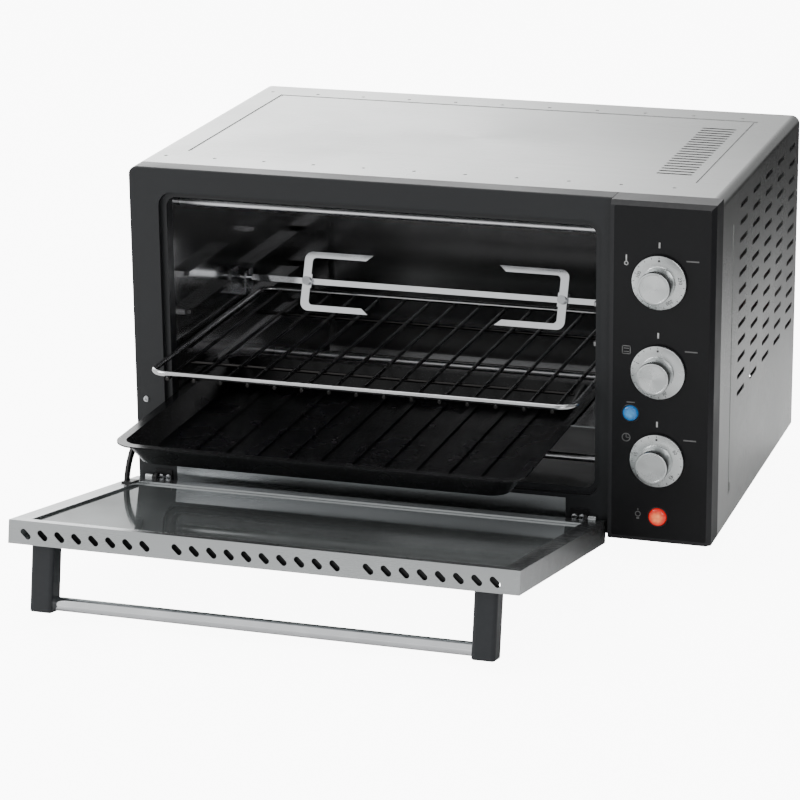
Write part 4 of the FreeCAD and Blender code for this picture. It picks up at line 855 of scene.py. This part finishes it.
@dataclass
class ControlPanel(Assembly):
    """The panel at the right: fascia, print, knobs and lenses."""

    dials: tuple[Dial, ...] = (Dial("thermostat", ("0", "100", "150", "200", "230"), 280.0),
                               Dial("function", ("0", "I", "II", "III"), 200.0),
                               Dial("timer", ("0", "15", "30", "45", "60"), 300.0))
    ink_high: float = 0.12
    number_size: float = 3.9
    grip_radius: float = 12.8
    skirt_thick: float = 3.0
    thermometer: tuple[float, float] = (410.8, 223.4)
    oven_sign: tuple[float, float] = (411.6, 154.6)
    clock: tuple[float, float] = (412.2, 83.9)
    lamp_sign: tuple[float, float] = (422.3, 22.0)
    ready_caption: tuple[float, float] = (415.5, 112.6)
    finishes: ClassVar[dict[Finish, str]] = {
        Finish.PANEL: "control_housing",
        Finish.FASCIA: "control_fascia",
        Finish.READY: "ready_lens",
        Finish.POWER: "power_lens",
        Finish.CASE: "thermostat function_switch timer",
        Finish.PLATED: "thermostat_shaft function_shaft timer_shaft timer_bell",
    }

    def build(self) -> None:
        """Model the knobs, the dial scales, the lens rims and the printed signs."""
        for dial in self.dials:
            self._knob(dial)
        self._lens_rims()
        self._print()

    def _knob(self, dial: Dial) -> None:
        """A skirted knob with a rolled edge, a waisted grip and a dished face."""
        low, high, centre = node_box(dial.name + "_knob")
        skirt = (high.x - low.x) / MM / 2
        deep = (high.y - low.y) / MM
        grip, rise = self.grip_radius, self.skirt_thick
        rings = [(skirt - 1.2, 0.0), (skirt, 0.3), (skirt, rise - 0.9), (skirt - 0.25, rise - 0.35),
                 (skirt - 0.9, rise), (grip + 1.0, rise), (grip + 0.35, rise + 0.15), (grip, rise + 0.6),
                 (grip, deep - 1.1), (grip - 0.3, deep - 0.4), (grip - 1.0, deep), (grip - 1.6, deep),
                 (grip - 1.9, deep - 0.35), (grip * 0.5, deep - 0.42), (0.4, deep - 0.45)]
        knob = self.bench.turned(dial.name + "_turned_knob", rings, 96)
        rear = Matrix.Translation((centre.x, high.y, centre.z))
        self.bench.finish(knob, dial.name + "_dial", Finish.SPUN, "knob_metal", rear @ FORWARD,
                          [dial.name + "_knob"])
        self._scale(dial, Vector((centre.x, high.y - rise * MM, centre.z)), skirt)

    def _scale(self, dial: Dial, face: Vector, skirt: float) -> None:
        """Ticks and numbers printed round the skirt, with a dot at nought.

        Args:
            dial: The knob and its labels.
            face: The middle of the skirt's front, in metres.
            skirt: The skirt's radius in millimetres.
        """
        pieces = []
        middle = (skirt + self.grip_radius) / 2
        steps = len(dial.labels) - 1
        for number, label in enumerate(dial.labels):
            around = turn(-dial.sweep / steps * number, "Y")
            if label == "0":
                mark = self.bench.turned("zero_dot", [(0.9, 0), (0.9, self.ink_high)], 20)
                move = Matrix.Translation((0, 0, (middle + 0.3) * MM)) @ FORWARD
            else:
                mark = self.bench.words("number", label, self.number_size, self.ink_high)
                move = Matrix.Translation((0, -self.ink_high * MM / 2, (middle - 0.3) * MM))
            pieces.append(self.bench.settle(mark, around @ move))
        ticks = 4 * steps
        for number in range(ticks + 1):
            tick = self.bench.block("tick", (-0.2, -self.ink_high, skirt - 2.2), (0.2, 0, skirt - 1.05), 0)
            pieces.append(self.bench.settle(tick, turn(-dial.sweep / ticks * number, "Y")))
        scale = self.bench.join(dial.name + "_dial_scale", pieces)
        self.bench.finish(scale, dial.name + "_dial", Finish.DIAL_INK, "knob_metal", Matrix.Translation(face))

    def _lens_rims(self) -> None:
        """A thin dark ring round each lens."""
        rings = []
        for name in ("ready_lens", "power_lens"):
            low, high, centre = node_box(name)
            self.bench.clear()
            radius = (high.x - low.x) / 2 + 0.75 * MM
            bpy.ops.mesh.primitive_torus_add(major_radius=radius, minor_radius=0.5 * MM,
                                             major_segments=48, minor_segments=10)
            front = Matrix.Translation((centre.x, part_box("control_fascia")[0][1], centre.z))
            rings.append(self.bench.settle(bpy.context.object, front @ FORWARD))
        rim = self.bench.smooth(self.bench.join("lens_rims", rings))
        self.bench.finish(rim, "oven_body", Finish.PANEL, "panel_plastic")

    def _ring(self, at: tuple[float, float], radius: float, width: float) -> bpy.types.Object:
        """One printed ring on the fascia."""
        self.bench.clear()
        bpy.ops.mesh.primitive_circle_add(vertices=40, radius=radius * MM, fill_type="NGON")
        item = bpy.context.object
        self.bench.open_faces(item)
        bpy.ops.mesh.inset(thickness=width * MM)
        bpy.ops.mesh.delete(type="FACE")
        bpy.ops.mesh.select_all(action="SELECT")
        bpy.ops.mesh.extrude_region_move(TRANSFORM_OT_translate={"value": (0, 0, self.ink_high * MM)})
        self.bench.close_solid()
        return self.bench.settle(item, Matrix.Translation((at[0] * MM, 0, at[1] * MM)) @ FORWARD)

    def _strokes(self, at: tuple[float, float],
                 *bars: tuple[float, float, float, float]) -> list[bpy.types.Object]:
        """Printed bars about a point of the fascia.

        Args:
            at: The point, across and up, in the housing's millimetres.
            *bars: Each bar's place across and up from the point, its width and its height.

        Returns:
            The bars, in the housing's millimetres and on y = 0.
        """
        return [self.bench.bar("stroke", (at[0] + right, at[1] + up), (wide, tall), self.ink_high)
                for right, up, wide, tall in bars]

    def _print(self) -> None:
        """Pointer bars, four signs, and short plain dashes where captions would be."""
        white, grey = [], []
        for dial in self.dials:
            middle = (node_box(dial.name + "_knob")[2].z - CORNER.z) / MM
            white += self._strokes((436.5, middle), (0, 28.7, 1.3, 4.4))
            grey += self._strokes((462.5, middle), (0, 17.6, 10.0, 1.1))
        white += [*self._strokes(self.thermometer, (0, 4.2, 1.0, 5.0)),
                  self._ring(self.thermometer, 1.7, 0.8)]
        grey += self._strokes(self.oven_sign, (-3.1, 0, 0.8, 7.0), (3.1, 0, 0.8, 7.0), (0, -3.1, 7.0, 0.8),
                              (0, 3.1, 7.0, 0.8), (0, 1.2, 4.2, 0.6), (0, -1.4, 4.2, 0.6))
        grey += [self._ring(self.clock, 3.5, 0.8),
                 *self._strokes(self.clock, (0, 1.3, 0.6, 2.6), (1.0, 0, 2.2, 0.6))]
        grey += [self._ring(self.lamp_sign, 2.3, 0.7),
                 *self._strokes(self.lamp_sign, (0, -3.5, 2.2, 1.2), (0, 3.8, 0.6, 1.6))]
        grey += self._strokes(self.ready_caption, (0, 0, 6.5, 0.9))
        for name, pieces, finish in (("white_signs", white, Finish.WHITE_INK),
                                     ("grey_signs", grey, Finish.GREY_INK)):
            signs = self.bench.join(name, pieces)
            self.bench.finish(signs, "oven_body", finish, "fascia", on_front("control_fascia"))


@dataclass
class OvenSpace(Assembly):
    """The lined oven with its heaters, runners, rack, tray and spit."""

    sill_low: tuple[float, float] = (34.0, 4.0)
    sill_high: tuple[float, float] = (362.0, 27.0)
    sill_thick: float = 0.7
    finishes: ClassVar[dict[Finish, str]] = {
        Finish.FRAME: "front_frame",
        Finish.OVEN_LINING: "cavity_left_wall cavity_right_wall cavity_ceiling cavity_back "
                            "tray_runner_left tray_runner_right",
        Finish.CRUMB_FLOOR: "cavity_floor",
        Finish.SHEATH: "heater_top_front heater_top_rear heater_bottom_front heater_bottom_rear",
        Finish.CERAMIC: "heater_insulators",
        Finish.PLATED: "spit_support thumbscrew_left thumbscrew_right",
        Finish.MACHINED: "drive_coupler spit_motor",
        Finish.CHROME: "spit_rod fork_left fork_right",
        Finish.RACK_WIRE: "wire_rack",
        Finish.TRAY: "bake_tray",
    }

    def build(self) -> None:
        """Model the bright sill plate under the opening."""
        (left, low), (right, high) = self.sill_low, self.sill_high
        plate = self.bench.block("sill_plate", (left, -self.sill_thick, low), (right, 0.0, high))
        self.bench.finish(plate, "oven_body", Finish.SILL, "cavity_steel", on_front("front_frame"))


@dataclass
class Door(Assembly):
    """The lowered glass door, its handle, hinges and stay, drawn upright with its outside at -Y."""

    open_angle: float = 79.2
    length: float = 254.0
    glass_left: float = 15.0
    glass_right: float = 381.0
    gasket_margin: float = 10.3
    gasket_wide: float = 2.2
    gasket_front: float = -1.66
    gasket_rear: float = -0.5
    # Size and place of the dark plate that stands in for the shade inside the strip.
    shade_plate_inset: float = 1.5
    shade_plate_depth: float = 4.5
    shade_plate_thick: float = 1.0
    shade_plate_front: float = -16.6
    shade_plate_rear: float = -6.0
    finishes: ClassVar[dict[Finish, str]] = {
        Finish.DOOR_TRIM: "door_strip door_rail_left door_rail_right door_bottom_rail",
        Finish.PAINT: "door_stay hinge_bracket_left hinge_bracket_right",
        Finish.GLASS: "door_glass",
        Finish.POST: "handle_post_left handle_post_right",
        Finish.CHROME: "handle_bar",
        Finish.PLATED: "handle_screws hinge_pin_left hinge_pin_right",
    }

    def place(self) -> Matrix:
        """The transform from the closed door's drawing space to the frame."""
        hinge = next(joint for joint in frame["joints"] if joint["name"] == "door_hinge")
        at = Vector((CORNER.x, hinge["pos_m"][1], hinge["pos_m"][2]))
        return Matrix.Translation(at) @ turn(self.open_angle, "X")

    def build(self) -> None:
        """Model the gasket along the glass, and a dark plate behind the strip's slots that is painted shade
        for the inside of the strip.
        """
        top = self.length - self.gasket_margin
        gasket = self.bench.block("door_gasket", (self.glass_left, self.gasket_front, top - self.gasket_wide),
                                  (self.glass_right, self.gasket_rear, top), 0.4)
        self.bench.finish(gasket, "door", Finish.GASKET, "door_paint", self.place())
        # Painted shade: a dark-painted plate inside the strip that makes its slots look shaded.
        back = self.length - self.shade_plate_depth
        shade_plate = self.bench.block(
            "strip_shade_plate", (self.glass_left + self.shade_plate_inset, self.shade_plate_front, back - self.shade_plate_thick),
            (self.glass_right - self.shade_plate_inset, self.shade_plate_rear, back), 0.25)
        self.bench.finish(shade_plate, "door", Finish.PAINT, "door_paint", self.place())


# ------------------------------------------------------------------ studio


@dataclass
class Studio:
    """Floor, lights, surroundings and camera. Angles are degrees, and the camera's place is millimetres."""

    camera_at: tuple[float, float, float] = (970.135, -2325.9, 859.535)
    azimuth: float = -17.874
    elevation: float = -17.486
    roll: float = -0.618
    lens: float = 144.255
    sensor: float = 36.0
    dim_side: float = 0.30
    bright_side: float = 1.15
    glow_toward: tuple[float, float, float] = (-0.55, 0.80, 0.25)
    glow_from: float = 0.915
    glow_strength: float = 4.2
    floor_size: float = 60.0
    floor_pale: Colour = (0.84, 0.84, 0.84)
    floor_dark: Colour = (0.04, 0.04, 0.04)
    floor_lift: float = 9.0

    def build(self) -> None:
        """Set everything up."""
        self._camera()
        self._world()
        self._floor()
        self._lamp("key_light", (-2.3, -1.0, 2.2), (0.0, 0.0, 0.15), 1.5, 46.0)
        self._lamp("top_light", (0.1, 0.7, 2.6), (0.0, 0.0, 0.2), 2.0, 30.0)
        self._lamp("fill_light", (1.6, -2.4, 1.2), (0.1, 0.0, 0.15), 1.2, 14.0)

    def _camera(self) -> None:
        """The camera at the viewing angle."""
        data = bpy.data.cameras.new("camera")
        data.sensor_width = self.sensor
        data.lens = self.lens
        item = bpy.data.objects.new("camera", data)
        bpy.context.scene.collection.objects.link(item)
        around, up_angle, roll = (math.radians(value) for value in (self.azimuth, self.elevation, self.roll))
        forward = Vector((math.sin(around) * math.cos(up_angle), math.cos(around) * math.cos(up_angle),
                          math.sin(up_angle)))
        right = Vector((math.cos(around), -math.sin(around), 0))
        up = right.cross(forward)
        across = math.cos(roll) * right + math.sin(roll) * up
        upward = -math.sin(roll) * right + math.cos(roll) * up
        turned = Matrix((across, upward, -forward)).transposed().to_4x4()
        item.matrix_world = Matrix.Translation(spot(*self.camera_at)) @ turned
        bpy.context.scene.camera = item

    def _world(self) -> None:
        """Surroundings bright at the left and dim at the right, with a glow that the metal mirrors."""
        world = bpy.data.worlds.new("studio")
        bpy.context.scene.world = world
        world.use_nodes = True
        tree = world.node_tree
        direction = add_node(tree, "TexCoord").outputs["Generated"]
        parts = add_node(tree, "SeparateXYZ", {0: direction})
        sides = ramp(tree, parts.outputs["X"], 0.15, -0.45, self.dim_side, self.bright_side, soft=True)
        toward = add_node(tree, "VectorMath", {0: direction, 1: Vector(self.glow_toward).normalized()},
                          operation="DOT_PRODUCT")
        glow = ramp(tree, toward.outputs["Value"], self.glow_from, 1.0, 0.0, self.glow_strength, soft=True)
        background = tree.nodes["Background"]
        tree.links.new(maths(tree, "ADD", sides, glow), background.inputs["Strength"])
        background.inputs["Color"].default_value = (0.97, 0.98, 0.98, 1.0)

    def _floor(self) -> None:
        """A wide floor, pale to the camera, which beyond the right side is dark to all else."""
        Bench.clear()
        bpy.ops.mesh.primitive_plane_add(size=self.floor_size, location=(0, 0, 0))
        floor = bpy.context.object
        floor.name = "floor"
        recipe = Recipe("pale_floor", (1.0, 0.25, 1.0))
        across = add_node(recipe.tree, "VectorMath", {0: recipe.place, 1: (1.0, 1.0, 0.0)},
                          operation="DOT_PRODUCT")
        fade = ramp(recipe.tree, across.outputs["Value"], 0.30, 0.80, soft=True)
        seen = add_node(recipe.tree, "LightPath").outputs["Is Camera Ray"]
        hidden = add_node(recipe.tree, "Math", {0: fade, 1: seen}, operation="SUBTRACT", use_clamp=True)
        recipe.link(recipe.mix(hidden.outputs[0], self.floor_pale, self.floor_dark), "Base Color")
        recipe.link(recipe.mix(seen, (0.0, 0.0, 0.0), (1.0, 1.0, 1.0)), "Emission Color")
        floor.data.materials.append(
            recipe.put(Roughness=0.9, Specular_IOR_Level=0.0, Emission_Strength=self.floor_lift))

    @staticmethod
    def _lamp(name: str, at: Sequence[float], toward: Sequence[float], size: float, power: float) -> None:
        """A soft square lamp aimed at a point."""
        data = bpy.data.lights.new(name, "AREA")
        data.size = size
        data.energy = power
        item = bpy.data.objects.new(name, data)
        bpy.context.scene.collection.objects.link(item)
        item.location = at
        item.rotation_mode = "QUATERNION"
        item.rotation_quaternion = (Vector(toward) - Vector(at)).to_track_quat("-Z", "Y")


def main() -> None:
    """Build the studio, dress the CAD nodes, and add the finer pieces."""
    logging.basicConfig(level=logging.INFO, format="%(name)s: %(message)s")
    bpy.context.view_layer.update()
    Studio().build()
    bench = Bench(Paintshop())
    for assembly in (Housing(bench), ControlPanel(bench), OvenSpace(bench), Door(bench)):
        assembly.dress()
        assembly.build()
    Bench.clear()


if __name__ == "__main__":
    main()
